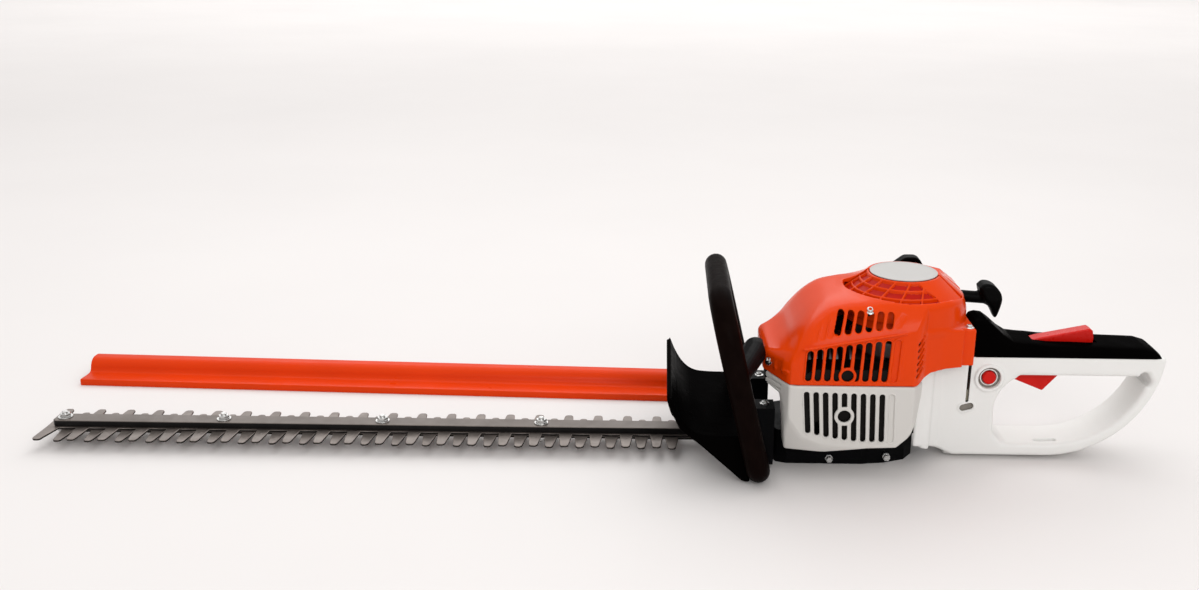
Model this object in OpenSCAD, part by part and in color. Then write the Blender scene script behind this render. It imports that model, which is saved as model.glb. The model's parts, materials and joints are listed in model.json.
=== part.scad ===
// Petrol hedge trimmer with a double-sided reciprocating blade, and its blade scabbard.
// X runs from the blade's tip (-) to the rear handle (+), Y across, Z up.
// The origin is on the flat underside of the gear cover, on the crankshaft's axis.

/* [Blades] */
// Distance between neighbouring teeth of one blade
tooth_pitch = 30; // [26:1:32]
// Half width of the upper blade over its teeth
upper_half_w = 37; // [34:0.5:38]
// Half width of the lower blade over its teeth
lower_half_w = 33; // [30:0.5:36]
// Half width of each blade's spine
spine_half_w = 10; // [9:0.5:11]
// Thickness of the upper blade
upper_blade_t = 2.2; // [2:0.1:2.4]
// Width of the guide bar
bar_w = 18; // [16:0.5:20]
// Height of the guide bar
bar_h = 6.8; // [5:0.2:8]

/* [Gearbox] */
// Teeth on the drive gear
gear_teeth = 44; // [44:1:44]
// Teeth on the pinion
pinion_teeth = 9; // [9:1:9]
// Eccentricity of the two blade eccentrics
eccentricity = 6.5; // [6:0.1:6.8]
// Half width of the gear housing
housing_half_w = 38; // [36:0.5:40]

/* [Engine] */
// Height of the cylinder's axis above the floor
cylinder_z = 82; // [80:1:84]
// Crank throw, half of the piston's stroke
crank_throw = 15; // [13:0.5:15]
// Cylinder bore radius
bore_r = 17; // [16:0.5:18]
// Radius of the flywheel
flywheel_r = 46; // [42:1:47]
// Outer radius of the starter cover
starter_r = 56; // [55:0.5:57]

/* [Covers] */
// Wall thickness of the moulded covers
wall = 2.5; // [2:0.1:3]
// How far the engine covers reach out on the muffler side
muffler_side_y = 74; // [72:1:76]
// Height of the seam between the shroud and the muffler cover
seam_z = 95; // [93:1:97]

/* [Handles] */
// Outer diameter of the front loop handle
loop_tube_d = 22; // [20:0.5:24]
// Half distance between the loop's two limbs
loop_half_w = 90; // [86:1:94]
// Lean of the front loop towards the blade, in degrees
loop_lean = 13.5; // [10:0.5:15]
// Half width of the rear handle
rear_half_w = 24; // [22:0.5:25]

/* [Scabbard] */
// Length of the blade scabbard
scabbard_l = 680; // [640:5:700]
// Turn of the scabbard beside the blade, in degrees
scabbard_turn = -2.2; // [-4:0.1:-2]

/* [Hidden] */
$fn = 48;
fit = 0.05;
clear = 0.3;
teeth_n = 20;
last_tooth_x = -234;
tip_x = last_tooth_x - teeth_n * tooth_pitch;
blade_top_z = 15;
lower_top_z = blade_top_z - upper_blade_t - clear;
lower_blade_t = 2.3;
gear_module = 1.5;
gear_x = -gear_module * (gear_teeth + pinion_teeth) / 2;
gear_z = 17;
gear_h = 8;
stroke_half = 7.5;
eccentric_r = 12;
yoke_gap = 1.2;
screw_pitch = 158.3;
screw_x0 = -824;
bar_screw_r = 3;
wrist_x = -67;
stop_x = 85;
stop_z = 86;
trigger_pivot = [114, 0, 92];
lockout_pivot = [126, 0, 115];
cap_pos = [66, 0, 44];
box_outline = [[-84, 62], [-84, 104], [-52, 132], [6, 164], [20, 174],
               [35, 174], [47, 158], [47, 96], [28, 62]];
cover_z = 96;
cover_screw_r = 1.8;
cover_screw_places = [for (p = [[-112, 29.5], [-66, 31.3], [-8.5, 28]]) for (s = [-1, 1]) [p[0], s * p[1]]];
bracket_screw_places = [[-131, -37], [-131, 37]];
hood_screw_places = [[-40, -57.5, 164.3], [58, -36, 141]];

// ---- helpers ----

// Flat shape drawn in X and Z, given a thickness from y0 to y1.
module across(y0, y1) {
    rotate([90, 0, 0]) translate([0, 0, -y1]) linear_extrude(y1 - y0) children();
}

// Flat shape drawn in Y and Z, given a thickness from x0 to x1.
module along(x0, x1) {
    translate([x0, 0, 0]) rotate([90, 0, 90]) linear_extrude(x1 - x0) children();
}

// Round bar along Y.
module rod_y(r, y0, y1) {
    translate([0, y0, 0]) rotate([-90, 0, 0]) cylinder(r = r, h = y1 - y0);
}

// Round bar along X.
module rod_x(r, x0, x1) {
    translate([x0, 0, 0]) rotate([0, 90, 0]) cylinder(r = r, h = x1 - x0);
}

// Rectangle with round corners, centred on the origin.
module rounded_rect(l, w, r) {
    square([l - 2 * r, w], center = true);
    square([l, w - 2 * r], center = true);
    for (sx = [-1, 1]) for (sy = [-1, 1])
        translate([sx * (l / 2 - r), sy * (w / 2 - r)]) circle(r);
}

// Slot with round ends along X, centred on the origin.
module slot_shape(l, w) {
    square([l - w, w], center = true);
    translate([-(l - w) / 2, 0]) circle(w / 2);
    translate([(l - w) / 2, 0]) circle(w / 2);
}

// Gear outline of n teeth with straight flanks; tooth zero points along +X.
module gear_profile(n) {
    pitch_r = gear_module * n / 2;
    tip_r = pitch_r + gear_module * 0.85;
    root_r = pitch_r - gear_module * 1.15;
    root_half = 0.19;
    tip_half = 0.1;
    step = 360 / n;
    polygon([for (i = [0 : n - 1]) for (corner = [[-root_half, root_r], [-tip_half, tip_r],
                                                 [tip_half, tip_r], [root_half, root_r]])
        let (a = step * (i + corner[0]), r = corner[1]) [r * cos(a), r * sin(a)]]);
}

// A pan-head screw along +Z with its head on top of z = 0.
module screw(r, shank, head_r, head_h) {
    translate([0, 0, -shank]) cylinder(r = r, h = shank + 0.01);
    difference() {
        cylinder(r = head_r, h = head_h);
        translate([0, 0, head_h * 0.4]) cylinder(r = head_r * 0.5, h = head_h, $fn = 6);
    }
}

// ---- blades and guide bar ----

// One tooth pair across the spine, at x = 0.
module tooth_pair(half_w) {
    polygon([[-6.5, -spine_half_w + 1], [-4, -half_w + 2], [-2, -half_w], [2, -half_w],
             [4, -half_w + 2], [6.5, -spine_half_w + 1], [6.5, spine_half_w - 1], [4, half_w - 2],
             [2, half_w], [-2, half_w], [-4, half_w - 2], [-6.5, spine_half_w - 1]]);
}

// Plan of a blade: spine, teeth, slots for the bar screws and the yoke at the drive end.
module blade_plan(half_w, shift) {
    yoke_l = 2 * (eccentric_r + yoke_gap);
    yoke_w = 2 * (eccentric_r + eccentricity + 0.5);
    difference() {
        union() {
            translate([tip_x + shift, -spine_half_w])
                square([gear_x - yoke_l / 2 - tip_x - shift, 2 * spine_half_w]);
            for (i = [0 : teeth_n]) translate([tip_x + shift + i * tooth_pitch, 0]) tooth_pair(half_w);
            translate([gear_x, 0]) rounded_rect(yoke_l + 15, yoke_w + 15, 8);
        }
        translate([gear_x, 0]) square([yoke_l, yoke_w], center = true);
        for (i = [0 : 3]) translate([screw_x0 + i * screw_pitch, 0])
            slot_shape(2 * (bar_screw_r + 1 + stroke_half) + 1, 2 * bar_screw_r + 2.6);
    }
}

module upper_blade() {
    color("#8f8c88") translate([0, 0, blade_top_z - upper_blade_t])
        linear_extrude(upper_blade_t) blade_plan(upper_half_w, 0);
}

module lower_blade() {
    color("#7d7a76") translate([0, 0, lower_top_z - lower_blade_t])
        linear_extrude(lower_blade_t) blade_plan(lower_half_w, tooth_pitch / 2);
}

module guide_bar() {
    bar_x0 = tip_x + 0.5;
    color("#6c6c6e") difference() {
        translate([bar_x0, -bar_w / 2, blade_top_z + clear]) cube([-84 - bar_x0, bar_w, bar_h]);
        for (i = [0 : 3]) translate([screw_x0 + i * screw_pitch, 0, 0])
            cylinder(r = bar_screw_r + fit, h = 40);
    }
}

// Bolts with washers above the bar, and spacers and lock nuts that carry the blades below.
module bar_screws() {
    bar_top = blade_top_z + clear + bar_h;
    color("#b9bbbe") for (i = [0 : 3]) translate([screw_x0 + i * screw_pitch, 0, 0]) {
        translate([0, 0, 4]) cylinder(r = bar_screw_r, h = bar_top - 3.9);
        translate([0, 0, bar_top]) cylinder(r = 7, h = 1.2);
        translate([0, 0, bar_top + 1.1]) cylinder(r = 5.5, h = 3.4, $fn = 6);
        translate([0, 0, 8]) cylinder(r = 8.5, h = 1.6);
        translate([0, 0, 3.4]) cylinder(r = 5.6, h = 4.8, $fn = 6);
    }
}

// ---- gearbox ----

pan_front_x = -122;

// Plan of the gearbox, tapering round the drive gear and the pinion, drawn in by t.
module pan_shape(t) {
    w = housing_half_w;
    half = [[pan_front_x, w - 14], [pan_front_x + 4, w - 4], [pan_front_x + 14, w], [-36, w], [-12, w - 4],
            [8, w - 12], [18, w - 26]];
    offset(delta = -t) polygon(concat(half, [for (i = [len(half) - 1 : -1 : 0]) [half[i][0], -half[i][1]]]));
}

module gear_housing() {
    color("#26272a") difference() {
        union() {
            translate([0, 0, 3]) linear_extrude(31) pan_shape(0);
            translate([0, 0, 30]) cylinder(r = 34, h = 30);
            translate([gear_x, 0, 34]) cylinder(r = 12, h = 3);
        }
        difference() {
            translate([0, 0, 2]) linear_extrude(28) pan_shape(3);
            for (p = cover_screw_places) translate([p[0], p[1], 0]) cylinder(r = 4.5, h = 30);
        }
        for (p = cover_screw_places) translate([p[0], p[1], 0]) cylinder(r = cover_screw_r, h = 8);
        translate([0, 0, 36]) cylinder(r = 31, h = 30);
        translate([0, 0, 28]) cylinder(r = 9, h = 10);
        translate([gear_x, 0, 28]) cylinder(r = 8, h = 6);
        translate([pan_front_x - 1, -spine_half_w - 2, 9]) cube([8, 2 * spine_half_w + 4, 6.3]);
        translate([pan_front_x - 1, -bar_w / 2, 15]) cube([8, bar_w, bar_h + 0.3]);
    }
}

module gear_cover() {
    color("#1d1d1f") difference() {
        union() {
            linear_extrude(3) pan_shape(0);
            translate([gear_x, 0, 2.9]) cylinder(r = 11, h = 5.6);
        }
        translate([gear_x, 0, 2.5]) cylinder(r = 8, h = 10);
        for (p = cover_screw_places) translate([p[0], p[1], 0]) {
            translate([0, 0, -1]) cylinder(r = cover_screw_r, h = 6);
            translate([0, 0, -1]) cylinder(r = 4.1, h = 2.2);
        }
    }
}

module gear_cover_screws() {
    color("#c9cbce") for (p = cover_screw_places) translate([p[0], p[1], 0]) {
        cylinder(r = 4, h = 1.2);
        cylinder(r = cover_screw_r, h = 7.2);
    }
}

// Ball bearings drawn as an outer and an inner race with a ball ring between them.
module ball_bearing(r_in, r_out, h) {
    race = (r_out - r_in) / 4;
    difference() {
        cylinder(r = r_out, h = h);
        translate([0, 0, -1]) cylinder(r = r_in, h = h + 2);
        for (z = [-1, h - 0.8]) translate([0, 0, z]) difference() {
            cylinder(r = r_out - race, h = 1.8);
            translate([0, 0, -1]) cylinder(r = r_in + race, h = 4);
        }
    }
}

module gear_bearings() {
    color("#d0d2d4") {
        translate([gear_x, 0, 3]) ball_bearing(5 + fit, 8, 5);
        translate([gear_x, 0, 28.5]) ball_bearing(5 + fit, 8, 5);
        translate([0, 0, 30]) ball_bearing(5 + fit, 9, 6);
    }
}

// Drive gear with the two opposed eccentrics that push the blades to and fro.
module drive_gear() {
    color("#9a9da1") translate([gear_x, 0, 0]) {
        translate([0, 0, 3.2]) cylinder(r = 5, h = 30);
        translate([0, 0, gear_z]) linear_extrude(gear_h) gear_profile(gear_teeth);
        translate([0, eccentricity, blade_top_z - upper_blade_t])
            cylinder(r = eccentric_r, h = upper_blade_t);
        translate([0, -eccentricity, lower_top_z - lower_blade_t])
            cylinder(r = eccentric_r, h = lower_blade_t);
        translate([0, 0, blade_top_z + clear]) cylinder(r = 7.5, h = gear_z - blade_top_z);
    }
}

// Clutch drum, its shaft and the pinion cut on the shaft's lower end.
module clutch_drum() {
    color("#8b8e92") {
        difference() {
            translate([0, 0, 38.5]) cylinder(r = 29, h = 19);
            translate([0, 0, 41]) cylinder(r = 27, h = 20);
        }
        translate([0, 0, 13]) cylinder(r = 5, h = 26);
        translate([0, 0, gear_z - 1]) linear_extrude(gear_h + 2) gear_profile(pinion_teeth);
    }
}

// ---- engine ----

module crankcase() {
    color("#a9abad") difference() {
        union() {
            translate([0, 0, 60]) cylinder(r = 34, h = 4);
            translate([0, 0, 60]) cylinder(r = 31.5, h = 46);
            translate([-40, 0, cylinder_z]) rotate([0, 90, 0]) linear_extrude(30) rounded_rect(42, 54, 8);
        }
        translate([0, 0, 71]) cylinder(r = 26.5, h = 22);
        translate([0, 0, 59]) cylinder(r = 9, h = 50);
        translate([0, 0, 62]) cylinder(r = 13, h = 40);
        translate([0, 0, cylinder_z]) rod_x(bore_r, -45, 0);
    }
}

module crank_bearings() {
    color("#d4d6d8") for (z = [62.2, 95.8]) translate([0, 0, z]) ball_bearing(6 + fit, 13, 6);
}

// Built-up crankshaft: two webs, the pin and both shafts, with the pin towards the cylinder.
module crankshaft() {
    color("#84878b") {
        translate([0, 0, 43]) cylinder(r = 6, h = 31);
        translate([0, 0, 71.5]) cylinder(r = 22.5, h = 5.5);
        translate([-crank_throw, 0, 76.5]) cylinder(r = 5, h = 11);
        translate([0, 0, 87]) cylinder(r = 22.5, h = 5.5);
        translate([0, 0, 92]) cylinder(r = 6, h = 50);
    }
}

module big_end_bearing() {
    color("#b5b7b9") translate([-crank_throw, 0, 78]) difference() {
        cylinder(r = 9, h = 8);
        translate([0, 0, -1]) cylinder(r = 5 + fit, h = 10);
    }
}

module connecting_rod() {
    color("#9fa1a4") translate([0, 0, cylinder_z]) difference() {
        union() {
            translate([wrist_x, -4, -3.5]) cube([-wrist_x - crank_throw - 9 - clear, 8, 7]);
            translate([wrist_x, 0, -4]) cylinder(r = 7.5, h = 8);
        }
        translate([wrist_x, 0, -10]) cylinder(r = 4, h = 20);
    }
}

// Piston with its ring grooves, hollow from below, and the wrist pin bore through the bosses.
module piston() {
    color("#c3c5c6") translate([0, 0, cylinder_z]) difference() {
        rod_x(bore_r - fit, -83, -55);
        rod_x(bore_r - 3, -79, -54);
        for (x = [-80.5, -77.5]) difference() {
            rod_x(bore_r + 1, x, x + 1.2);
            rod_x(bore_r - 1.2, x - 1, x + 3);
        }
    }
    color("#7f8286") translate([wrist_x, 0, cylinder_z - bore_r + 3]) cylinder(r = 4, h = 2 * bore_r - 6);
}

// Finned cylinder with its bore, a plug hole in the head and flats for the two ports.
module cylinder_block() {
    difference() {
        union() {
            translate([0, 0, cylinder_z]) rod_x(bore_r + 5, -104, -40);
            for (i = [0 : 7]) translate([-52 - 6.5 * i, 0, cylinder_z]) rotate([0, 90, 0])
                linear_extrude(2) rounded_rect(66, 74, 12);
            translate([-72, -38, cylinder_z - 12]) cube([24, 76, 24]);
            translate([-45, 0, cylinder_z]) rotate([0, 90, 0]) linear_extrude(4.9) rounded_rect(42, 54, 8);
        }
        translate([0, 0, cylinder_z]) rod_x(bore_r, -90, -30);
        translate([0, 0, cylinder_z]) rod_x(5, -120, -80);
        translate([-60, 0, cylinder_z]) rod_y(8, -50, 50);
    }
}

module engine_cylinder() {
    color("#b4b6b7") cylinder_block();
}

module spark_plug() {
    color("#d8d8d4") translate([0, 0, cylinder_z]) {
        rod_x(5, -104.2, -92);
        translate([-111, 0, 0]) rotate([0, 90, 0]) cylinder(r = 9, h = 7, $fn = 6);
        rod_x(5, -121, -110);
    }
}

module plug_boot() {
    color("#1b1b1d") translate([0, 0, cylinder_z]) difference() {
        union() {
            rod_x(8, -129, -112);
            translate([-122, 0, 0]) cylinder(r = 6.5, h = 15);
        }
        rod_x(5, -121, -110);
        translate([-111, 0, 0]) rotate([0, 90, 0]) cylinder(r = 9, h = 7, $fn = 6);
        translate([-122, 0, 10]) cylinder(r = 3, h = 10);
    }
}

module ignition_module() {
    color("#202225") {
        translate([-84, 8, 119]) cube([26, 26, 15]);
        translate([-60, 10, 121]) cube([13.5, 5, 8]);
        translate([-60, 26, 121]) cube([20, 5, 8]);
    }
}

// High-tension lead, from the module to the plug's boot.
function along_route(pts, r, n) = [for (i = [0 : len(pts) - 1]) for (k = [0 : n - 1])
    let (a = pts[max(i - 1, 0)], b = pts[min(i + 1, len(pts) - 1)], d = (b - a) / norm(b - a),
         up = abs(d[2]) > 0.9 ? [1, 0, 0] : [0, 0, 1],
         u = cross(d, up) / norm(cross(d, up)), v = cross(u, d), t = 360 * k / n)
    pts[i] + r * (cos(t) * u + sin(t) * v)];

module tube_along(pts, r, n) {
    last = len(pts) - 1;
    polyhedron(along_route(pts, r, n), concat(
        [[for (k = [0 : n - 1]) k]],
        [for (i = [0 : last - 1]) for (k = [0 : n - 1])
            [i * n + k, (i + 1) * n + k, (i + 1) * n + (k + 1) % n, i * n + (k + 1) % n]],
        [[for (k = [n - 1 : -1 : 0]) last * n + k]]));
}

// Point at share t of a cubic curve through four control points.
function bezier(p, t) = pow(1 - t, 3) * p[0] + 3 * t * pow(1 - t, 2) * p[1]
    + 3 * t * t * (1 - t) * p[2] + pow(t, 3) * p[3];

module ignition_lead() {
    route = [[-84.4, 20, 126], [-106, 20, 128], [-122, 0, 124], [-122, 0, 92.2]];
    color("#141414") tube_along([for (i = [0 : 12]) bezier(route, i / 12)], 2.8, 10);
}

module muffler() {
    color("#6f6a66") difference() {
        union() {
            translate([-54, 0, 74]) across(-70, -42) rounded_rect(88, 72, 12);
            translate([-60, 0, cylinder_z]) rod_y(11, -42.1, -38);
        }
        translate([-54, 0, 74]) across(-68.5, -43.5) rounded_rect(85, 69, 10.5);
        translate([-60, 0, cylinder_z]) rod_y(8, -44, -37);
        translate([-84, 0, 52]) rod_y(6, -71, -68);
    }
}

module intake_manifold() {
    color("#2b2b2d") translate([-60, 0, cylinder_z]) difference() {
        union() {
            rod_y(13, 38, 42);
            rod_y(10.5, 41, 62);
        }
        rod_y(8, 37, 63);
    }
}

module carburettor() {
    color("#a5a7a9") difference() {
        union() {
            translate([-76, 62, 68]) cube([32, 20, 28]);
            translate([-76, 66, 65]) cube([32, 12, 4]);
        }
        translate([-60, 0, cylinder_z]) rod_y(7.5, 61, 87);
        translate([-60, 72, 60]) cylinder(r = 2.5 + fit, h = 50);
    }
}

// Throttle shaft with its butterfly, and the lever that the cable pulls.
module throttle_shaft() {
    color("#bfa04a") translate([-60, 72, 0]) {
        translate([0, 0, 66]) cylinder(r = 2.5, h = 33);
        translate([0, 0, cylinder_z]) rod_y(7, -0.6, 0.6);
        translate([0, 0, 97]) linear_extrude(2) union() {
            circle(4.5);
            translate([0, -2.5]) square([7, 5]);
            translate([7, 0]) circle(2.5);
        }
    }
}

// Bowden cable from the trigger to the carburettor's lever, inside the handle and the air box.
module throttle_cable() {
    route = [[116, 3, 101], [70, 3, 101], [60, 34, 106], [30, 62, 103]];
    tail = [[30, 62, 103], [0, 80, 102], [-30, 76, 102.5], [-44, 76, 102.5]];
    color("#101010") tube_along(concat([for (i = [0 : 12]) bezier(route, i / 12)],
                                       [for (i = [1 : 8]) bezier(tail, i / 8)]), 2, 8);
}

// Outline of the air box above z, drawn in by t.
module box_shape(z, t) {
    intersection() {
        offset(delta = -t) polygon(box_outline);
        translate([-100, z + t]) square([200, 150]);
    }
}

// Box around the carburettor: open towards the filter above, closed by a face plate below.
module air_box() {
    color("#1a1a1c") difference() {
        across(59, 86) box_shape(0, 0);
        across(61.5, 83.5) box_shape(0, wall);
        across(80, 90) box_shape(cover_z, wall);
        translate([-60, 0, cylinder_z]) rod_y(10.5 + fit, 50, 70);
        translate([-64, 0, 76]) rod_y(4 + fit, 80, 90);
        translate([-22, 0, 78]) rod_y(11.5, 80, 90);
        translate([30, 62, 103]) sphere(r = 7);
        translate([40, 50, 100]) cube([12, 20, 10]);
    }
}

module air_filter() {
    color("#d9c79a") difference() {
        translate([-4, 0, 120]) across(80, 92) rounded_rect(64, 40, 6);
        translate([0, 0, 120]) rod_y(4, 70, 100);
    }
}

// Black cover over the filter, held by a knob on a central stud.
module filter_cover() {
    color("#202022") difference() {
        across(86.3, 104) box_shape(cover_z, 0);
        across(80, 101.5) box_shape(cover_z, wall);
        translate([0, 0, 120]) rod_y(3.3, 95, 110);
    }
}

module filter_knob() {
    color("#2a2a2c") {
        translate([0, 0, 120]) rod_y(3.22, 94, 105);
        translate([0, 0, 120]) rod_y(13, 104.3, 107);
        translate([0, 0, 120]) across(106.9, 115) slot_shape(24, 7);
    }
}

// Choke shaft with its lever outside the face plate.
module choke_knob() {
    color("#222224") translate([-64, 0, 76]) {
        rod_y(4, 82.5, 92);
        rod_y(7, 86.5, 91);
        across(90.9, 95) translate([9, 0]) slot_shape(26, 8);
    }
}

module primer_bulb() {
    color("#c9c9b0") translate([-22, 0, 78]) difference() {
        union() {
            rod_y(11, 80, 88);
            intersection() {
                translate([0, 86, 0]) sphere(r = 11);
                rod_y(12, 87, 100);
            }
        }
        rod_y(9.5, 79, 87);
        intersection() {
            translate([0, 86, 0]) sphere(r = 9.5);
            rod_y(12, 86, 100);
        }
    }
}

module flywheel() {
    color("#9c9ea0") difference() {
        union() {
            translate([0, 0, 112]) cylinder(r = flywheel_r, h = 4);
            translate([0, 0, 112]) cylinder(r = 13, h = 24);
            difference() {
                translate([0, 0, 112]) cylinder(r = flywheel_r, h = 14);
                translate([0, 0, 111]) cylinder(r = flywheel_r - 5, h = 20);
            }
            for (i = [0 : 13]) rotate([0, 0, i * 360 / 14]) translate([24, -1, 115])
                rotate([0, 0, 18]) cube([21, 2, 21]);
        }
        translate([0, 0, 100]) cylinder(r = 6 + fit, h = 50);
    }
}

module clutch_hub() {
    color("#77797c") translate([0, 0, 44]) difference() {
        union() {
            cylinder(r = 11, h = 12);
            translate([-8, -18, 3]) cube([16, 36, 6]);
        }
        translate([0, 0, -1]) cylinder(r = 6, h = 20);
    }
}

// One centrifugal shoe, thrown outwards along +Y; the other is its mirror image.
module shoe() {
    difference() {
        translate([0, 0, 43]) cylinder(r = 25, h = 13);
        translate([-30, -40, 40]) cube([60, 42.5, 20]);
        translate([0, 0, 40]) cylinder(r = 12.5, h = 20);
        translate([-8.3, -20, 46.6]) cube([16.6, 40, 6.8]);
    }
}

module clutch_shoe_left() {
    color("#5d5a55") mirror([0, 1, 0]) shoe();
}

module clutch_shoe_right() {
    color("#5d5a55") shoe();
}

// ---- starter ----

module starter_cover() {
    color("#e8501d") difference() {
        union() {
            translate([0, 0, 141]) cylinder(r = starter_r, h = 24);
            translate([0, 0, 165]) cylinder(r1 = starter_r, r2 = 34, h = 19);
            translate([18, 10, 141]) cube([42, 32, 24]);
        }
        difference() {
            translate([0, 0, 140]) cylinder(r = starter_r - wall, h = 25);
            translate([-100, -100, 166]) cube(200);
        }
        translate([0, 0, 165 - 0.01]) cylinder(r1 = starter_r - wall, r2 = 34 - wall, h = 16.6);
        translate([18, 12.5, 140]) cube([39.5, 27, 22.5]);
        translate([0, 25, 152]) rod_x(2.5, 50, 70);
        for (i = [0 : 15]) rotate([0, 0, i * 22.5 + 5]) translate([36, -2, 163]) cube([14, 4, 22]);
    }
    color("#e8501d") translate([0, 0, 144]) cylinder(r = 5, h = 38);
}

module starter_badge() {
    color("#efefec") translate([0, 0, 184]) cylinder(r = 32, h = 1.2);
}

module starter_pulley() {
    color("#dcdcd8") difference() {
        union() {
            translate([0, 0, 147]) cylinder(r = 28, h = 2);
            translate([0, 0, 147]) cylinder(r = 22, h = 10);
            translate([0, 0, 155]) cylinder(r = 28, h = 2);
        }
        translate([0, 0, 140]) cylinder(r = 5 + fit, h = 30);
    }
}

// Flat spiral spring wound around the pulley's post.
module recoil_spring() {
    turns = 5;
    steps = 20;
    r0 = 7.5;
    pitch = 2.6;
    strip = 1;
    inner = [for (i = [0 : turns * steps]) let (a = 360 * i / steps, r = r0 + pitch * i / steps)
        [r * cos(a), r * sin(a)]];
    outer = [for (i = [turns * steps : -1 : 0]) let (a = 360 * i / steps, r = r0 + strip + pitch * i / steps)
        [r * cos(a), r * sin(a)]];
    color("#5c5f63") translate([0, 0, 158]) linear_extrude(6) polygon(concat(inner, outer));
}

module starter_rope() {
    color("#e8e4da") translate([0, 25, 152]) rod_x(1.6, -42, 66);
}

// Pull handle with its black sleeve.
module starter_grip() {
    color("#1a1a1c") {
        translate([0, 25, 152]) difference() {
            rod_x(6, 60.5, 86);
            rod_x(1.6, 59, 66);
        }
        translate([88, 25, 154]) rotate([0, 20, 0]) hull() {
            translate([0, 0, 15]) sphere(r = 6.5, $fn = 24);
            translate([0, 0, -15]) sphere(r = 6.5, $fn = 24);
        }
    }
}

// ---- covers ----

shroud_plan = [[-134, -36], [-112, -muffler_side_y], [3, -muffler_side_y], [16, -58], [30, -52],
               [64, -42], [64, 42], [30, 58], [-104, 58], [-134, 36]];

// Solid bounded by the shroud's side, front and plan outlines, each drawn in by t.
module shroud_block(t) {
    side = [[-134, seam_z + 3], [-134, 128], [-117, 136], [-106, 154], [-92, 168], [-64, 179], [-36, 184],
            [20, 184], [40, 172], [52, 141], [64, 141], [64, 105], [36, 105], [14, seam_z],
            [-106, seam_z]];
    front = [[-muffler_side_y, 80], [-muffler_side_y, 138], [-66, 158], [-52, 168], [-34, 184],
             [30, 184], [58, 160], [58, 80]];
    intersection() {
        across(-100, 100) offset(delta = -t) polygon(side);
        along(-150, 100) offset(delta = -t) polygon(front);
        linear_extrude(300) offset(delta = -t) polygon(shroud_plan);
    }
}

// Row of upright round-ended slots through the near wall of a cover.
module slot_row(n, x0, x1, z0a, z0b, h, w, lean) {
    for (i = [0 : n - 1]) let (s = i / (n - 1))
        translate([x0 + (x1 - x0) * s, 0, z0a + (z0b - z0a) * s]) rotate([0, lean, 0])
            across(-90, -60) rotate(90) slot_shape(h, w);
}

// Places of the two screws through the shroud: the fan cover's and the rear corner's.
module hood_screw_frames() {
    translate(hood_screw_places[0]) rotate([atan2(10, 14), 0, 0]) children();
    translate(hood_screw_places[1]) children();
}

module engine_shroud() {
    color("#f0561c") difference() {
        shroud_block(0);
        shroud_block(wall);
        translate([0, 0, 80]) linear_extrude(28) offset(delta = -wall) polygon(shroud_plan);
        translate([0, 0, 140.7]) cylinder(r = starter_r + clear, h = 60);
        translate([0, 0, 138]) cylinder(r = starter_r - 4, h = 4);
        translate([17, 9, 140.7]) cube([60, 34, 40]);
        // throttle cable's way in and out
        translate([34, 46, 90]) cube([16, 16, 20]);
        translate([60, 17, 100]) cube([6, 15, 8]);
        hood_screw_frames() translate([0, 0, -12]) cylinder(r = 2 + fit, h = 14);
        slot_row(9, -95, -24, 114, 120, 25, 4.6, 6);
        slot_row(6, -68, -22, 153, 157, 14, 4.6, 12);
    }
}

muffler_cover_plan = [[-134, -36], [-112, -muffler_side_y], [3, -muffler_side_y], [14, -58],
                      [14, -44.5], [11.7, -44.5], [11.7, -30], [-134, -30]];

// Solid bounded by the muffler cover's side and plan outlines, each drawn in by t.
module muffler_cover_block(t) {
    top = seam_z - clear;
    side = [[-134, top + 3], [-134, 84], [-119, 80], [-113, 27], [-35, 27], [3, 41], [14, 46], [14, top],
            [-106, top]];
    intersection() {
        across(-100, 100) offset(delta = -t) polygon(side);
        linear_extrude(300) offset(delta = -t) polygon(muffler_cover_plan);
    }
}

// White cover over the muffler: near wall, both ends and floor, open inwards and upwards.
module muffler_cover() {
    color("#dedcd7") difference() {
        muffler_cover_block(0);
        muffler_cover_block(wall);
        // open top and open inner side
        translate([0, 0, 88]) linear_extrude(20) offset(delta = -wall) polygon(muffler_cover_plan);
        translate([-140, -40, 20]) cube([160, 20, 100]);
        slot_row(9, -95, -26, 67, 63, 39, 4.6, 0);
    }
}

// Screws of the fan cover, of the shroud's rear corner and of the handle bracket.
module housing_screws() {
    color("#c4c6c9") {
        hood_screw_frames() screw(2, 6, 4.4, 2.6);
        for (p = bracket_screw_places) translate([p[0], p[1], 62]) screw(2.5, 12, 4.6, 3);
    }
}

// ---- rear handle ----

function arc(cx, cz, r, a0, a1, n) = [for (i = [0 : n]) let (a = a0 + (a1 - a0) * i / n)
    [cx + r * cos(a), cz + r * sin(a)]];

rear_outline = concat([[12, 104], [12, 21], [56, 4], [146, 4]],
                      arc(146, 112, 108, -90, -4, 14), [[251, 107], [66, 107], [66, 104]]);
opening_outline = concat([[112, 88]], arc(131, 52, 38, 120, 190, 6), arc(111.5, 35, 18, 197, 270, 6),
                         arc(150, 110, 93, -90, -14, 12), [[240, 88]]);

bay_outline = [[0, 110], [0, 24], [57, 7], [84, 7], [88, 40], [90, 60], [98, 84], [98, 110]];

module rear_plan(t) {
    polygon([[12 - t, -44 + t], [38 + t, -rear_half_w + t], [260, -rear_half_w + t],
             [260, rear_half_w - t], [38 + t, rear_half_w - t], [12 - t, 44 - t]]);
}

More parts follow.
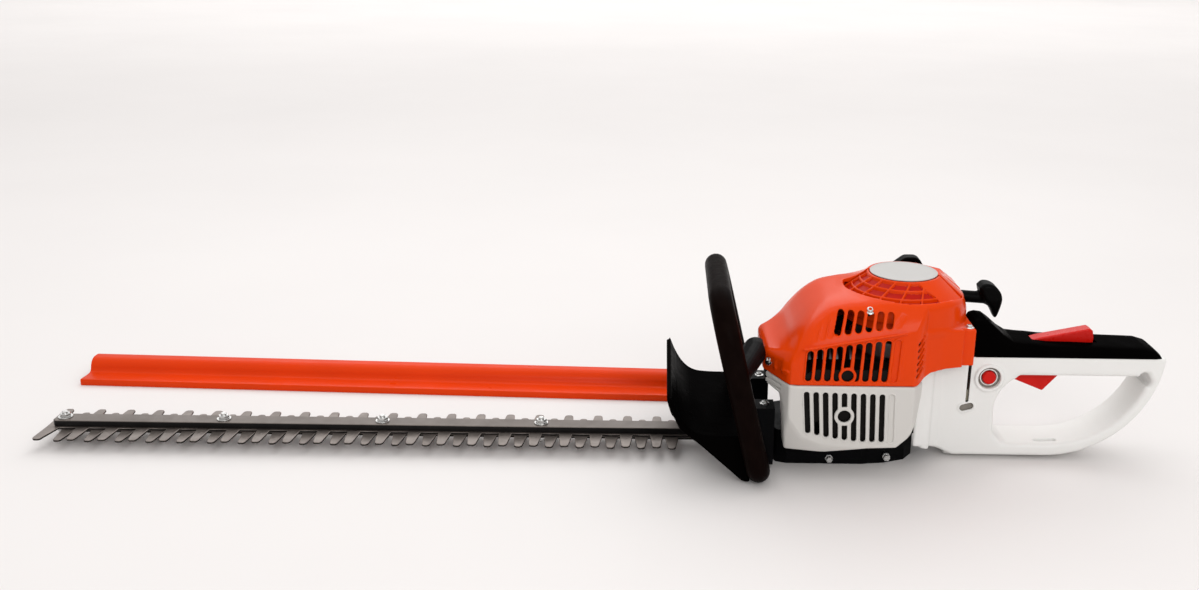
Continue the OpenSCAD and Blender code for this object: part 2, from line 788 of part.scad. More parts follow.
// White rear housing: cheeks beside the crankcase, the tank bay and the closed D handle.
module rear_housing() {
    color("#e4e3df") difference() {
        intersection() {
            across(-60, 60) polygon(rear_outline);
            linear_extrude(200) rear_plan(0);
        }
        across(-60, 60) polygon(opening_outline);
        // inside of the tank bay and of the cheeks
        intersection() {
            across(-60, 60) polygon(bay_outline);
            linear_extrude(200) rear_plan(3);
        }
        // hollow top limb, open upwards
        translate([98, -rear_half_w + 3, 91]) cube([140, 2 * rear_half_w - 6, 20]);
        translate([107, -8, 80]) cube([54, 16, 20]);
        translate([cap_pos[0], 0, cap_pos[2]]) rod_y(18, 20, 30);
        translate([stop_x, 0, stop_z]) rod_y(7, -30, -10);
        translate([stop_x, 0, stop_z]) rod_y(11, -30, -22.5);
        // throttle cable's way out and the trigger pin's seat
        translate([56, 17, 98]) cube([16, 12, 12]);
        translate(trigger_pivot) rod_y(2.5 + fit, -22.5, 22.5);
    }
    // bulkhead in front of the tank
    color("#e4e3df") translate([38.5, -rear_half_w + 1, 14]) cube([3, 2 * rear_half_w - 2, 80]);
    // foot under the handle, level with the gear cover
    color("#e4e3df") translate([120, -6, 0]) cube([16, 12, 4.5]);
}

grip_outline = concat([[67, 107.2], [67, 143], [70, 146], [77, 145]], [[94, 133], [104, 127], [118, 123]],
                      [[186, 121.5], [226, 119], [238, 115], [248, 107.2]]);

grip_section = [[-rear_half_w, 100], [-rear_half_w, 116], [-13, 147], [13, 147], [rear_half_w, 116],
                [rear_half_w, 100]];

module grip_cover() {
    color("#161618") difference() {
        intersection() {
            across(-rear_half_w, rear_half_w) polygon(grip_outline);
            along(60, 260) polygon(grip_section);
        }
        difference() {
            intersection() {
                across(-rear_half_w, rear_half_w) offset(delta = -wall) polygon(grip_outline);
                along(60, 260) offset(delta = -wall) polygon(grip_section);
            }
            translate([60, -50, 90]) cube([5, 100, 60]);
        }
        translate([70, -rear_half_w + 2.5, 105]) cube([170, 2 * rear_half_w - 5, 6]);
        translate([127, -8, 110]) cube([63, 16, 20]);
        translate(lockout_pivot) rod_y(2.5 + fit, -21.5, 21.5);
    }
}

tank_outline = [[42, 13.2], [57.5, 8.6], [83, 8.6], [83, 71], [42, 71]];

module fuel_tank() {
    color("#d9d6c6") difference() {
        union() {
            across(-19, 19) polygon(tank_outline);
            translate([cap_pos[0], 0, cap_pos[2]]) rod_y(14, 18, 27);
        }
        across(-17, 17) offset(delta = -2) polygon(tank_outline);
        translate([cap_pos[0], 0, cap_pos[2]]) rod_y(11.5, 16, 28);
    }
}

module fuel_cap() {
    color("#1c1c1e") difference() {
        union() {
            translate([cap_pos[0], 0, cap_pos[2]]) rod_y(17, 24.5, 33);
            translate([cap_pos[0], 0, cap_pos[2]]) across(32.9, 37) slot_shape(28, 6);
        }
        translate([cap_pos[0], 0, cap_pos[2]]) rod_y(14.3, 24, 29);
    }
    color("#1c1c1e") translate([cap_pos[0], 0, cap_pos[2]]) rod_y(11, 21, 30);
}

// Strap inside the filler neck that keeps the cap from being lost.
module cap_tether() {
    color("#3a3a3c") translate([cap_pos[0], 0, cap_pos[2]]) {
        rod_y(2, 4, 20.7);
        translate([-9, 3, -1.5]) cube([18, 2, 3]);
    }
}

module rubber_buffers() {
    color("#1e1e1e") difference() {
        for (z = [70, 90]) for (s = [-1, 1]) translate([0, s * 13, z]) rod_x(6, 26, 38);
        translate([0, 0, 50]) cylinder(r = 31.5, h = 60);
    }
}

module throttle_trigger() {
    outline = [[110, 97], [107, 91], [112, 79], [143, 66.5], [158, 84], [156, 89], [119, 97]];
    color("#e0261c") difference() {
        across(-7, 7) polygon(outline);
        translate(trigger_pivot) rod_y(2.5 + fit, -10, 10);
        translate([105, -2.5, 88]) cube([18, 5, 12]);
    }
}

module trigger_spring() {
    color("#8f9296") translate(trigger_pivot) difference() {
        rod_y(4, -2, 2);
        rod_y(2.6, -3, 3);
    }
}

module lockout_lever() {
    outline = [[121, 117], [121, 111], [186, 111], [187, 121], [185.5, 129], [182, 131], [134, 121]];
    color("#e0261c") difference() {
        across(-7, 7) polygon(outline);
        translate(lockout_pivot) rod_y(2.5 + fit, -10, 10);
    }
}

module hinge_pins() {
    color("#a7a9ac") {
        translate(trigger_pivot) rod_y(2.5, -22, 22);
        translate(lockout_pivot) rod_y(2.5, -21, 21);
    }
}

module stop_button() {
    color("#d8231b") translate([stop_x, 0, stop_z]) rod_y(6.6, -25.5, -14);
}

// ---- front handle ----

// Path of the loop: local Y is across, local Z runs up the leaning plane.
module loop_tube(r) {
    top = 167;
    corner = 42;
    low = 15;
    for (s = [-1, 1]) {
        translate([0, s * loop_half_w, low]) cylinder(r = r, h = top - corner - low);
        translate([0, s * (loop_half_w - corner), top - corner]) rotate([90, 0, 90])
            rotate_extrude(angle = s * 90, start = s > 0 ? 0 : 180) translate([corner, 0]) circle(r);
        translate([0, s * (loop_half_w - low), low]) rotate([90, 0, 90])
            rotate_extrude(angle = s > 0 ? -90 : 90, start = s > 0 ? 0 : 180) translate([low, 0]) circle(r);
        translate([0, s > 0 ? 46 : -loop_half_w + low, 0]) rod_y(r, 0, loop_half_w - low - 46);
    }
    translate([0, 0, top]) rod_y(r, -loop_half_w + corner, loop_half_w - corner);
}

module place_loop() {
    translate([-138, 0, 11]) rotate([0, -loop_lean, 0]) children();
}

module front_handle() {
    color("#1c1a1a") place_loop() loop_tube(loop_tube_d / 2);
}

// Bracket that carries the loop's feet beside the blade, and the brace from the near limb to the engine.
module handle_bracket() {
    color("#161618") {
        for (s = [-1, 1]) difference() {
            translate([-152, s > 0 ? 27 : -50, 4]) cube([30, 23, 58]);
            place_loop() loop_tube(loop_tube_d / 2);
            translate([-131, s * 37, 40]) cylinder(r = 2.5, h = 30);
        }
        difference() {
            hull() {
                translate([-141, -28, 113]) across(-6, 6) circle(11, $fn = 24);
                translate([-160, -84, 107]) across(-5, 5) circle(9, $fn = 24);
            }
            place_loop() loop_tube(loop_tube_d / 2);
            shroud_block(0);
        }
    }
}

// Scoop-shaped guard in front of the loop, with side skirts down to its feet.
module hand_guard() {
    scoop = [[-222, 86], [-215, 71], [-208, 60], [-198, 51], [-183, 47.5], [-152.3, 47.5],
             [-152.3, 44.5], [-184, 44.5], [-200, 47], [-211, 58], [-217.5, 70], [-224.5, 85]];
    skirt = [[-211, 58], [-198, 44], [-153, 2], [-146, 2], [-156, 47]];
    color("#131315") difference() {
        union() {
            across(-85, 85) polygon(scoop);
            for (s = [-1, 1]) scale([1, s, 1]) across(82, 85) polygon(skirt);
        }
        place_loop() loop_tube(loop_tube_d / 2);
    }
}

// ---- scabbard ----

// Extruded blade cover: a raised middle over the guide bar and a flat pocket for each row of teeth.
module scabbard() {
    half = 39.6;
    hump = 15;
    wing_h = 7;
    t = 1;
    arch = [[-half, 0], [-half, wing_h], [-hump, wing_h], [-13.2, 14.5], [-9.5, 18.8], [-3.5, 20.8]];
    outer = concat(arch, [for (i = [len(arch) - 1 : -1 : 0]) [-arch[i][0], arch[i][1]]]);
    color("#f0511a") translate([-874, 176.5, 0]) rotate([0, 0, scabbard_turn])
        along(0, scabbard_l) difference() {
            polygon(outer);
            offset(delta = -t) polygon(outer);
            translate([1 - hump, -1]) square([2 * hump - 2, 5]);
        }
}

upper_blade();
lower_blade();
guide_bar();
bar_screws();
gear_housing();
gear_cover();
gear_cover_screws();
gear_bearings();
drive_gear();
clutch_drum();
crankcase();
crank_bearings();
crankshaft();
big_end_bearing();
flywheel();
clutch_hub();
clutch_shoe_left();
clutch_shoe_right();
connecting_rod();
piston();
engine_cylinder();  // cylinder
spark_plug();
plug_boot();
ignition_module();
ignition_lead();
muffler();
intake_manifold();
carburettor();
throttle_shaft();
throttle_cable();
air_box();
air_filter();
filter_cover();
filter_knob();
choke_knob();
primer_bulb();
starter_cover();
starter_badge();
starter_pulley();
recoil_spring();
starter_rope();
starter_grip();
engine_shroud();
muffler_cover();
housing_screws();
rear_housing();
grip_cover();
fuel_tank();
fuel_cap();
cap_tether();
rubber_buffers();
throttle_trigger();
trigger_spring();
lockout_lever();
hinge_pins();
stop_button();
front_handle();
handle_bracket();
hand_guard();
scabbard();
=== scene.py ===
"""Petrol hedge trimmer with its blade scabbard: the looks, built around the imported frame.

Shapes are worked out in millimetres, as signed distances on a grid or as outlines, and turned into
meshes in metres. X runs from the blade's tip to the rear handle, -Y is the muffler side, Z is up.
"""

import json
import math

import bmesh
import bpy
import numpy as np
import openvdb
from mathutils import Matrix, Vector


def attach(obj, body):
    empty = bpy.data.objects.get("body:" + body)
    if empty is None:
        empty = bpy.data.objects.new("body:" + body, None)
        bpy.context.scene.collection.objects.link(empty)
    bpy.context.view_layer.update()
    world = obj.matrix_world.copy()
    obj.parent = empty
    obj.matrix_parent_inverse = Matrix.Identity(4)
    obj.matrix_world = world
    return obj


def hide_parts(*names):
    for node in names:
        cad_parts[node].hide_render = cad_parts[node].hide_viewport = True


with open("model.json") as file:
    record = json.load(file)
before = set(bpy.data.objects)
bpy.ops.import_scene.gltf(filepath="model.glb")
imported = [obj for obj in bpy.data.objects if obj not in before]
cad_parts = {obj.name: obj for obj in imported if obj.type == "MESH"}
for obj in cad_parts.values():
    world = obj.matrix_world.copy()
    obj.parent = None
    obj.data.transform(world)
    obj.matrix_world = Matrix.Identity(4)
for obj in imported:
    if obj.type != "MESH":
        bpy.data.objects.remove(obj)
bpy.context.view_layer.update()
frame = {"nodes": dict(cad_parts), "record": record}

MM = 0.001
STEP_SCALE = 1.0


def linked(name, data):
    """Object with this data, put into the scene."""
    made = bpy.data.objects.new(name, data)
    bpy.context.scene.collection.objects.link(made)
    return made


# ---------------------------------------------------------------- camera, lights, floor

CAMERA_PLACE = Vector((-0.2316, -1.0982, 0.5100))
CAMERA_YAW, CAMERA_PITCH, CAMERA_ROLL = math.radians(0.14), math.radians(17.83), math.radians(0.68)
SENSOR_MM = 36.0
LENS_MM = 35.981985
LENS_SHIFT = (-0.0487907, 0.0007506)


def make_camera():
    """Camera at the view's height, tilt and distance, its lens shifted by parts of the sensor's width."""
    forward = Vector((-math.sin(CAMERA_YAW) * math.cos(CAMERA_PITCH),
                      math.cos(CAMERA_YAW) * math.cos(CAMERA_PITCH), -math.sin(CAMERA_PITCH)))
    level = Vector((math.cos(CAMERA_YAW), math.sin(CAMERA_YAW), 0.0))
    rise = level.cross(forward)
    right = math.cos(CAMERA_ROLL) * level + math.sin(CAMERA_ROLL) * rise
    up = -math.sin(CAMERA_ROLL) * level + math.cos(CAMERA_ROLL) * rise
    data = bpy.data.cameras.new("camera")
    data.sensor_width = SENSOR_MM
    data.lens = LENS_MM
    data.shift_x, data.shift_y = LENS_SHIFT
    camera = linked("camera", data)
    turn = Matrix((right, up, -forward)).transposed()
    camera.matrix_world = Matrix.Translation(CAMERA_PLACE) @ turn.to_4x4()
    bpy.context.scene.camera = camera
    bpy.context.scene.view_settings.view_transform = "Standard"


def make_world():
    """Soft white surroundings: bright overhead, dimmer towards the horizon."""
    world = bpy.data.worlds.new("studio")
    bpy.context.scene.world = world
    world.use_nodes = True
    nodes, links = world.node_tree.nodes, world.node_tree.links
    back = nodes["Background"]
    place = nodes.new("ShaderNodeTexCoord")
    split = nodes.new("ShaderNodeSeparateXYZ")
    ramp = nodes.new("ShaderNodeValToRGB")
    ramp.color_ramp.elements[0].position = 0.0
    ramp.color_ramp.elements[0].color = (0.5, 0.49, 0.485, 1)
    ramp.color_ramp.elements[1].position = 0.85
    ramp.color_ramp.elements[1].color = (1.0, 0.985, 0.975, 1)
    links.new(place.outputs["Generated"], split.inputs[0])
    links.new(split.outputs["Z"], ramp.inputs[0])
    links.new(ramp.outputs[0], back.inputs["Color"])
    back.inputs["Strength"].default_value = 0.9


def area_light(name, place, target, size, power):
    data = bpy.data.lights.new(name, "AREA")
    data.shape = "RECTANGLE"
    data.size, data.size_y = size
    data.energy = power
    lamp = linked(name, data)
    lamp.location = place
    lamp.rotation_euler = (Vector(target) - Vector(place)).to_track_quat("-Z", "Y").to_euler()


def make_lights():
    area_light("key", (-0.4, 0.6, 1.9), (-0.2, 0, 0.05), (2.4, 1.6), 13)
    area_light("front", (0.5, -2.2, 1.3), (0, 0, 0.05), (1.8, 0.9), 19)
    area_light("backdrop", (-0.2, 6.0, 3.6), (-0.2, 5.6, 0), (9.0, 5.0), 190)


FLOOR_HALF = 14.0
FLOOR_PLACE = (0, 9.0, -0.0002)


def make_floor():
    """Pale floor, a hair under the part so that nothing flickers where they touch."""
    mesh = bpy.data.meshes.new("floor")
    bm = bmesh.new()
    bmesh.ops.create_grid(bm, x_segments=2, y_segments=2, size=FLOOR_HALF)
    bm.to_mesh(mesh)
    bm.free()
    floor = linked("floor", mesh)
    floor.location = FLOOR_PLACE
    mesh.materials.append(material("floor_white", (0.77, 0.745, 0.735), 0.6, mottle=0.02,
                                   mottle_scale=1.5, specular=0.25))


# ---------------------------------------------------------------- materials

def material(name, colour, rough, metal=0.0, coat=0.0, specular=0.5, mottle=0.06, mottle_scale=40.0,
             rough_spread=0.08, grain=0.0, grain_scale=1800.0, wave=None, sheen=0.0, second=None):
    """Procedural finish: colour and roughness vary softly, and a fine grain raises the surface.

    wave is (scale, strength, direction) for brushed or ribbed surfaces, second a colour to drift towards.
    """
    made = bpy.data.materials.new(name)
    made.use_nodes = True
    nodes, links = made.node_tree.nodes, made.node_tree.links
    shader = nodes["Principled BSDF"]
    shader.inputs["Metallic"].default_value = metal
    shader.inputs["Coat Weight"].default_value = coat
    shader.inputs["Coat Roughness"].default_value = 0.06
    shader.inputs["Specular IOR Level"].default_value = specular
    shader.inputs["Sheen Weight"].default_value = sheen
    place = nodes.new("ShaderNodeTexCoord")

    def noise(scale, detail):
        made_noise = nodes.new("ShaderNodeTexNoise")
        made_noise.inputs["Scale"].default_value = scale
        made_noise.inputs["Detail"].default_value = detail
        links.new(place.outputs["Object"], made_noise.inputs["Vector"])
        return made_noise

    def spread(source, low, high):
        ranged = nodes.new("ShaderNodeMapRange")
        ranged.inputs["From Min"].default_value = 0.25
        ranged.inputs["From Max"].default_value = 0.75
        ranged.inputs["To Min"].default_value = low
        ranged.inputs["To Max"].default_value = high
        links.new(source, ranged.inputs["Value"])
        return ranged.outputs["Result"]

    soft = noise(mottle_scale, 4.0)
    mix = nodes.new("ShaderNodeMix")
    mix.data_type = "RGBA"
    darker = second or tuple(c * (1 - 2 * mottle) for c in colour)
    mix.inputs["A"].default_value = (*colour, 1)
    mix.inputs["B"].default_value = (*darker, 1)
    links.new(spread(soft.outputs["Fac"], 0.0, 1.0), mix.inputs["Factor"])
    links.new(mix.outputs["Result"], shader.inputs["Base Color"])
    patches = noise(mottle_scale * 2.7, 3.0)
    smoothest, roughest = max(rough - rough_spread, 0.03), min(rough + rough_spread, 1.0)
    links.new(spread(patches.outputs["Fac"], smoothest, roughest), shader.inputs["Roughness"])
    height, strength = None, 0.0
    if grain:
        fine = noise(grain_scale, 2.0)
        height, strength = fine.outputs["Fac"], grain
    if wave:
        scale, strength, direction = wave
        lines = nodes.new("ShaderNodeTexNoise")
        lines.inputs["Scale"].default_value = scale
        stretch = nodes.new("ShaderNodeMapping")
        stretch.inputs["Scale"].default_value = direction
        links.new(place.outputs["Object"], stretch.inputs["Vector"])
        links.new(stretch.outputs["Vector"], lines.inputs["Vector"])
        height = lines.outputs["Fac"]
    if height:
        bump = nodes.new("ShaderNodeBump")
        bump.inputs["Strength"].default_value = strength
        bump.inputs["Distance"].default_value = 0.0002
        links.new(height, bump.inputs["Height"])
        links.new(bump.outputs["Normal"], shader.inputs["Normal"])
    return made


BRUSHED_ALONG_Y = (1.0, 0.04, 1.0)
BRUSHED_ALONG_X = (0.04, 1.0, 1.0)


def look(name, *looks, **more):
    """Name of a finish and its material."""
    return name, material(name, *looks, **more)


def finishes():
    """Finishes of the record's slots, then those that only some faces of a piece have."""
    return dict([
        look("blade_steel", (0.26, 0.225, 0.205), 0.4, metal=0.7, mottle=0.16,
             mottle_scale=55, rough_spread=0.1, wave=(1500, 0.25, BRUSHED_ALONG_Y)),
        look("bar_steel", (0.17, 0.145, 0.13), 0.42, metal=0.6, mottle=0.12, mottle_scale=30,
             wave=(1200, 0.25, BRUSHED_ALONG_X)),
        look("zinc", (0.70, 0.70, 0.69), 0.26, metal=1.0, mottle=0.1, mottle_scale=250,
             grain=0.2, grain_scale=1500),
        look("gear_steel", (0.42, 0.42, 0.42), 0.3, metal=1.0, mottle=0.08, mottle_scale=120,
             grain=0.15),
        look("black_casting", (0.003, 0.003, 0.0035), 0.45, specular=0.04, mottle=0.2,
             grain=0.5, grain_scale=900),
        # dark grey instead of the castings' bright aluminium: painted shade for the engine's inside seen
        # through the shroud's slots
        look("cast_aluminium", (0.22, 0.22, 0.225), 0.5, metal=0.9, mottle=0.1,
             grain=0.6, grain_scale=700),
        # the muffler's steel is dark, and it is made near black beyond that: painted shade behind the
        # muffler cover's slots
        look("muffler_steel", (0.008, 0.007, 0.006), 0.5, metal=0.2, specular=0.1,
             mottle=0.2, mottle_scale=25, grain=0.2, second=(0.004, 0.003, 0.0025)),
        look("orange_plastic", (0.74, 0.050, 0.001), 0.2, specular=0.12,
             mottle=0.03, mottle_scale=22, rough_spread=0.05, grain=0.05, grain_scale=500),
        look("scabbard_plastic", (0.75, 0.045, 0.001), 0.34, specular=0.1,
             mottle=0.05, mottle_scale=12, wave=(500, 0.12, BRUSHED_ALONG_X)),
        look("white_plastic", (0.82, 0.815, 0.795), 0.4, specular=0.25, mottle=0.02,
             mottle_scale=20, grain=0.18, grain_scale=1600),
        look("badge_white", (0.50, 0.49, 0.475), 0.4, specular=0.2, rough_spread=0.02,
             mottle=0.015, mottle_scale=30, grain=0.04),
        look("black_plastic", (0.003, 0.003, 0.003), 0.36, specular=0.03, mottle=0.2,
             grain=0.3, grain_scale=1400),
        look("black_gloss", (0.0015, 0.0012, 0.0012), 0.3, specular=0.001, mottle=0.2,
             mottle_scale=30, grain=0.06, grain_scale=600),
        look("handle_grip", (0.006, 0.003, 0.0025), 0.35, specular=0.008, mottle=0.25,
             mottle_scale=70, grain=0.45, grain_scale=1100),
        look("black_rubber", (0.008, 0.008, 0.008), 0.62, specular=0.15, mottle=0.2,
             grain=0.3, grain_scale=1200),
        look("red_plastic", (0.60, 0.007, 0.003), 0.3, specular=0.16, mottle=0.05,
             mottle_scale=60, grain=0.08, grain_scale=900),
        look("tank_plastic", (0.62, 0.58, 0.46), 0.4, mottle=0.06, mottle_scale=40, grain=0.1),
        look("primer_clear", (0.60, 0.57, 0.42), 0.25, coat=0.4, mottle=0.08,
             mottle_scale=90, grain=0.05),
        look("filter_felt", (0.55, 0.44, 0.26), 0.9, mottle=0.2, mottle_scale=300,
             grain=1.0, grain_scale=1500, sheen=0.4),
        look("rope_fibre", (0.62, 0.58, 0.50), 0.8, mottle=0.15, mottle_scale=500,
             wave=(900, 0.8, (1.0, 1.0, 1.0))),
        look("spring_steel", (0.24, 0.25, 0.26), 0.3, metal=1.0, mottle=0.1, grain=0.1),
        look("pulley_plastic", (0.66, 0.65, 0.60), 0.4, mottle=0.05, grain=0.1),
        look("brass", (0.60, 0.42, 0.15), 0.28, metal=1.0, mottle=0.1, mottle_scale=150, grain=0.1),
        look("ceramic", (0.72, 0.71, 0.67), 0.15, coat=0.4, mottle=0.04, grain=0.03),
        # darker red for the faces inside the fan cover's sunk grille windows: painted shade
        look("grille_painted_shade", (0.50, 0.008, 0.001), 0.34, specular=0.12, mottle=0.08, mottle_scale=60),
        look("edge_steel", (0.010, 0.009, 0.009), 0.5, metal=0.3, specular=0.15,
             mottle=0.15, mottle_scale=60),
        look("cover_white", (0.62, 0.60, 0.57), 0.38, specular=0.3, mottle=0.02,
             mottle_scale=20, grain=0.18, grain_scale=1600),
        # grey for the faces inside the stop button's recess and the oval pocket: painted shade
        look("recess_painted_shade", (0.27, 0.25, 0.22), 0.6, specular=0.2, mottle=0.1, mottle_scale=80),
    ])


# ---------------------------------------------------------------- signed-distance shapes (millimetres)

class Space:
    """Open grid of sample points around a box, with its step, all in millimetres."""

    def __init__(self, low, high, step):
        self.step = step * STEP_SCALE
        self.low = np.array(low, float) - 3 * self.step
        ends = np.array(high, float) + 3 * self.step
        x, y, z = (np.arange(self.low[i], ends[i], self.step, dtype=np.float32) for i in range(3))
        self.x = x.reshape(-1, 1, 1)
        self.y = y.reshape(1, -1, 1)
        self.z = z.reshape(1, 1, -1)
        self.shape = (len(x), len(y), len(z))


def outline_distance(points, u, v):
    """Signed distance from (u, v) to a closed outline, negative inside."""
    nearest, inside = None, None
    for (ax, ay), (bx, by) in zip(points, points[1:] + points[:1]):
        ex, ey = bx - ax, by - ay
        du, dv = u - ax, v - ay
        t = np.clip((du * ex + dv * ey) / (ex * ex + ey * ey), 0, 1)
        gap = (du - ex * t) ** 2 + (dv - ey * t) ** 2
        nearest = gap if nearest is None else np.minimum(nearest, gap)
        spans = (ay <= v) != (by <= v)
        crossed = spans & (u < ax + dv * (ex / ey if ey else 0.0))
        inside = crossed if inside is None else inside ^ crossed
    return np.where(inside, -1, 1).astype(np.float32) * np.sqrt(nearest)


def inset(points, by):
    """Outline drawn inwards by a distance, corner by corner; points run anticlockwise or clockwise."""
    area = sum(a[0] * b[1] - b[0] * a[1] for a, b in zip(points, points[1:] + points[:1]))
    side = 1 if area > 0 else -1
    drawn = []
    for before, here, after in zip(points[-1:] + points[:-1], points, points[1:] + points[:1]):
        d1 = np.subtract(here, before) / np.linalg.norm(np.subtract(here, before))
        d2 = np.subtract(after, here) / np.linalg.norm(np.subtract(after, here))
        n1, n2 = side * np.array([-d1[1], d1[0]]), side * np.array([-d2[1], d2[0]])
        drawn.append(tuple(here + by * (n1 + n2) / (1 + float(n1 @ n2))))
    return drawn


def soft_outline(points, r, u, v):
    """Distance to an outline whose outward corners are rounded to r."""
    return outline_distance(inset(points, r), u, v) - r


def meet(a, b, r):
    """What two solids share, with the new edge rounded to r."""
    rounding = np.sqrt(np.maximum(r + a, 0) ** 2 + np.maximum(r + b, 0) ** 2)
    return np.minimum(np.maximum(a, b), -r) + rounding


def join(a, b, r):
    """Two solids together, with a fillet of r between them."""
    rounding = np.sqrt(np.maximum(r - a, 0) ** 2 + np.maximum(r - b, 0) ** 2)
    return np.maximum(np.minimum(a, b), r) - rounding


def cut(a, b, r):
    """a with b taken away, with the new edge rounded to r."""
    return meet(a, -b, r)


def slab(v, low, high):
    """Layer between two flat faces."""
    return np.abs(v - (low + high) / 2) - (high - low) / 2


def capsule(space, a, b, r, r_end=None):
    """Rod with round ends from a to b, its radius running from r to r_end."""
    a, b = np.array(a, float), np.array(b, float)
    along = b - a
    dx, dy, dz = space.x - a[0], space.y - a[1], space.z - a[2]
    t = np.clip((dx * along[0] + dy * along[1] + dz * along[2]) / (along @ along), 0, 1)
    gap = np.sqrt((dx - along[0] * t) ** 2 + (dy - along[1] * t) ** 2 + (dz - along[2] * t) ** 2)
    return gap - (r if r_end is None else r + (r_end - r) * t)


def disc_y(space, x, z, r, y0, y1, edge):
    """Round plug along Y."""
    return meet(np.hypot(space.x - x, space.z - z) - r, slab(space.y, y0, y1), edge)


def disc_z(space, x, y, r, z0, z1, edge):
    """Round plug along Z."""
    return meet(np.hypot(space.x - x, space.y - y) - r, slab(space.z, z0, z1), edge)


def slot_2d(u, v, a, b, half_w):
    """Slot with round ends from a to b in a plane."""
    ex, ey = b[0] - a[0], b[1] - a[1]
    du, dv = u - a[0], v - a[1]
    t = np.clip((du * ex + dv * ey) / (ex * ex + ey * ey), 0, 1)
    return np.hypot(du - ex * t, dv - ey * t) - half_w


def sample(field, space, at):
    """Value of the field at points, by straight-line weights between grid points."""
    place = np.clip((at - space.low) / space.step, 0, np.array(space.shape) - 1.001)
    base = place.astype(np.int64)
    part = (place - base).astype(np.float32)
    total = np.zeros(len(at), np.float32)
    for corner in np.ndindex(2, 2, 2):
        weight = np.ones(len(at), np.float32)
        for axis in range(3):
            weight *= part[:, axis] if corner[axis] else 1 - part[:, axis]
        total += weight * field[base[:, 0] + corner[0], base[:, 1] + corner[1], base[:, 2] + corner[2]]
    return total


FLAT_FACES = 0.02


def surface(name, space, field):
    """Object whose mesh is the field's zero surface, with its normals taken from the field."""
    field = np.ascontiguousarray(np.broadcast_to(field, space.shape).astype(np.float32))
    grid = openvdb.FloatGrid(5 * space.step)
    grid.copyFromArray(field)
    points, triangles, quads = grid.convertToPolygons(isovalue=0.0, adaptivity=FLAT_FACES)
    at = points.astype(np.float64) * space.step + space.low
    normals = np.stack([sample(field, space, at + d) - sample(field, space, at - d)
                        for d in np.eye(3) * 0.6 * space.step], 1)
    normals /= np.maximum(np.linalg.norm(normals, axis=1, keepdims=True), 1e-9)
    corners = np.concatenate([triangles[:, ::-1].ravel(), quads[:, ::-1].ravel()]).astype(np.int32)
    sizes = np.concatenate([np.full(len(triangles), 3), np.full(len(quads), 4)])
    probe = (triangles if len(triangles) else quads)[:400, ::-1]
    edge_1, edge_2 = at[probe[:, 1]] - at[probe[:, 0]], at[probe[:, 2]] - at[probe[:, 0]]
    if (np.cross(edge_1, edge_2) * normals[probe[:, 0]]).sum() < 0:
        corners = np.concatenate([triangles.ravel(), quads.ravel()]).astype(np.int32)
    mesh = bpy.data.meshes.new(name)
    mesh.vertices.add(len(at))
    mesh.vertices.foreach_set("co", (at * MM).ravel())
    mesh.loops.add(len(corners))
    mesh.loops.foreach_set("vertex_index", corners)
    mesh.polygons.add(len(sizes))
    mesh.polygons.foreach_set("loop_start", np.concatenate([[0], np.cumsum(sizes)[:-1]]).astype(np.int32))
    mesh.update(calc_edges=True)
    mesh.polygons.foreach_set("use_smooth", np.ones(len(sizes), bool))
    mesh.normals_split_custom_set_from_vertices(normals)
    return linked(name, mesh)


def made_with(made, finish):
    made.data.materials.append(FINISHES[finish])
    return made


def piece(made, body, finish, *replaced):
    """Finish, body and replaced CAD nodes of a new piece."""
    if not made.data.materials:
        made_with(made, finish)
    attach(made, body)
    if replaced:
        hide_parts(*replaced)
    return made


# ---------------------------------------------------------------- outlines as plates and prisms

def plate(name, loops, z0, z1, bevel, turn=None):
    """Flat plate with chamfers from closed loops: the first is its edge, the others holes."""
    data = bpy.data.curves.new(name, "CURVE")
    data.dimensions = "2D"
    data.fill_mode = "BOTH"
    data.extrude = ((z1 - z0) / 2 - bevel) * MM
    data.bevel_depth = bevel * MM
    data.bevel_resolution = 1
    data.offset = -bevel * MM
    for loop in loops:
        spline = data.splines.new("POLY")
        spline.points.add(len(loop) - 1)
        spline.points.foreach_set("co", [c for x, y in loop for c in (x * MM, y * MM, 0, 1)])
        spline.use_cyclic_u = True
    holder = linked(name, data)
    mesh = bpy.data.meshes.new_from_object(holder.evaluated_get(bpy.context.evaluated_depsgraph_get()))
    bpy.data.objects.remove(holder)
    mesh.transform(Matrix.Translation((0, 0, (z0 + z1) / 2 * MM)))
    if turn:
        mesh.transform(turn)
    return linked(name, mesh)


def lathe(name, profile, place, axis="Z", steps=48):
    """Turned piece about Z or Y: profile is (radius, height) pairs, closed at both ends."""
    turn = Matrix.Identity(4) if axis == "Z" else Matrix.Rotation(math.radians(-90), 4, "X")
    bm = bmesh.new()
    rings = []
    for r, h in profile:
        rings.append([bm.verts.new((r * MM * math.cos(2 * math.pi * i / steps),
                                    r * MM * math.sin(2 * math.pi * i / steps), h * MM))
                      for i in range(steps)])
    for low, high in zip(rings, rings[1:]):
        for i in range(steps):
            bm.faces.new((low[i], low[(i + 1) % steps], high[(i + 1) % steps], high[i]))
    bm.faces.new(rings[0][::-1])
    bm.faces.new(rings[-1])
    bm.transform(Matrix.Translation(Vector(place) * MM) @ turn)
    bmesh.ops.recalc_face_normals(bm, faces=bm.faces)
    mesh = bpy.data.meshes.new(name)
    bm.to_mesh(mesh)
    bm.free()
    smooth_by_angle(mesh)
    return linked(name, mesh)


def smooth_by_angle(mesh, degrees=32):
    mesh.polygons.foreach_set("use_smooth", np.ones(len(mesh.polygons), bool))
    mesh.set_sharp_from_angle(angle=math.radians(degrees))


def arc(cx, cy, r, a0, a1, n):
    """Points along a round stretch, angles in degrees."""
    return [(cx + r * math.cos(math.radians(a0 + (a1 - a0) * i / n)),
             cy + r * math.sin(math.radians(a0 + (a1 - a0) * i / n))) for i in range(n + 1)]


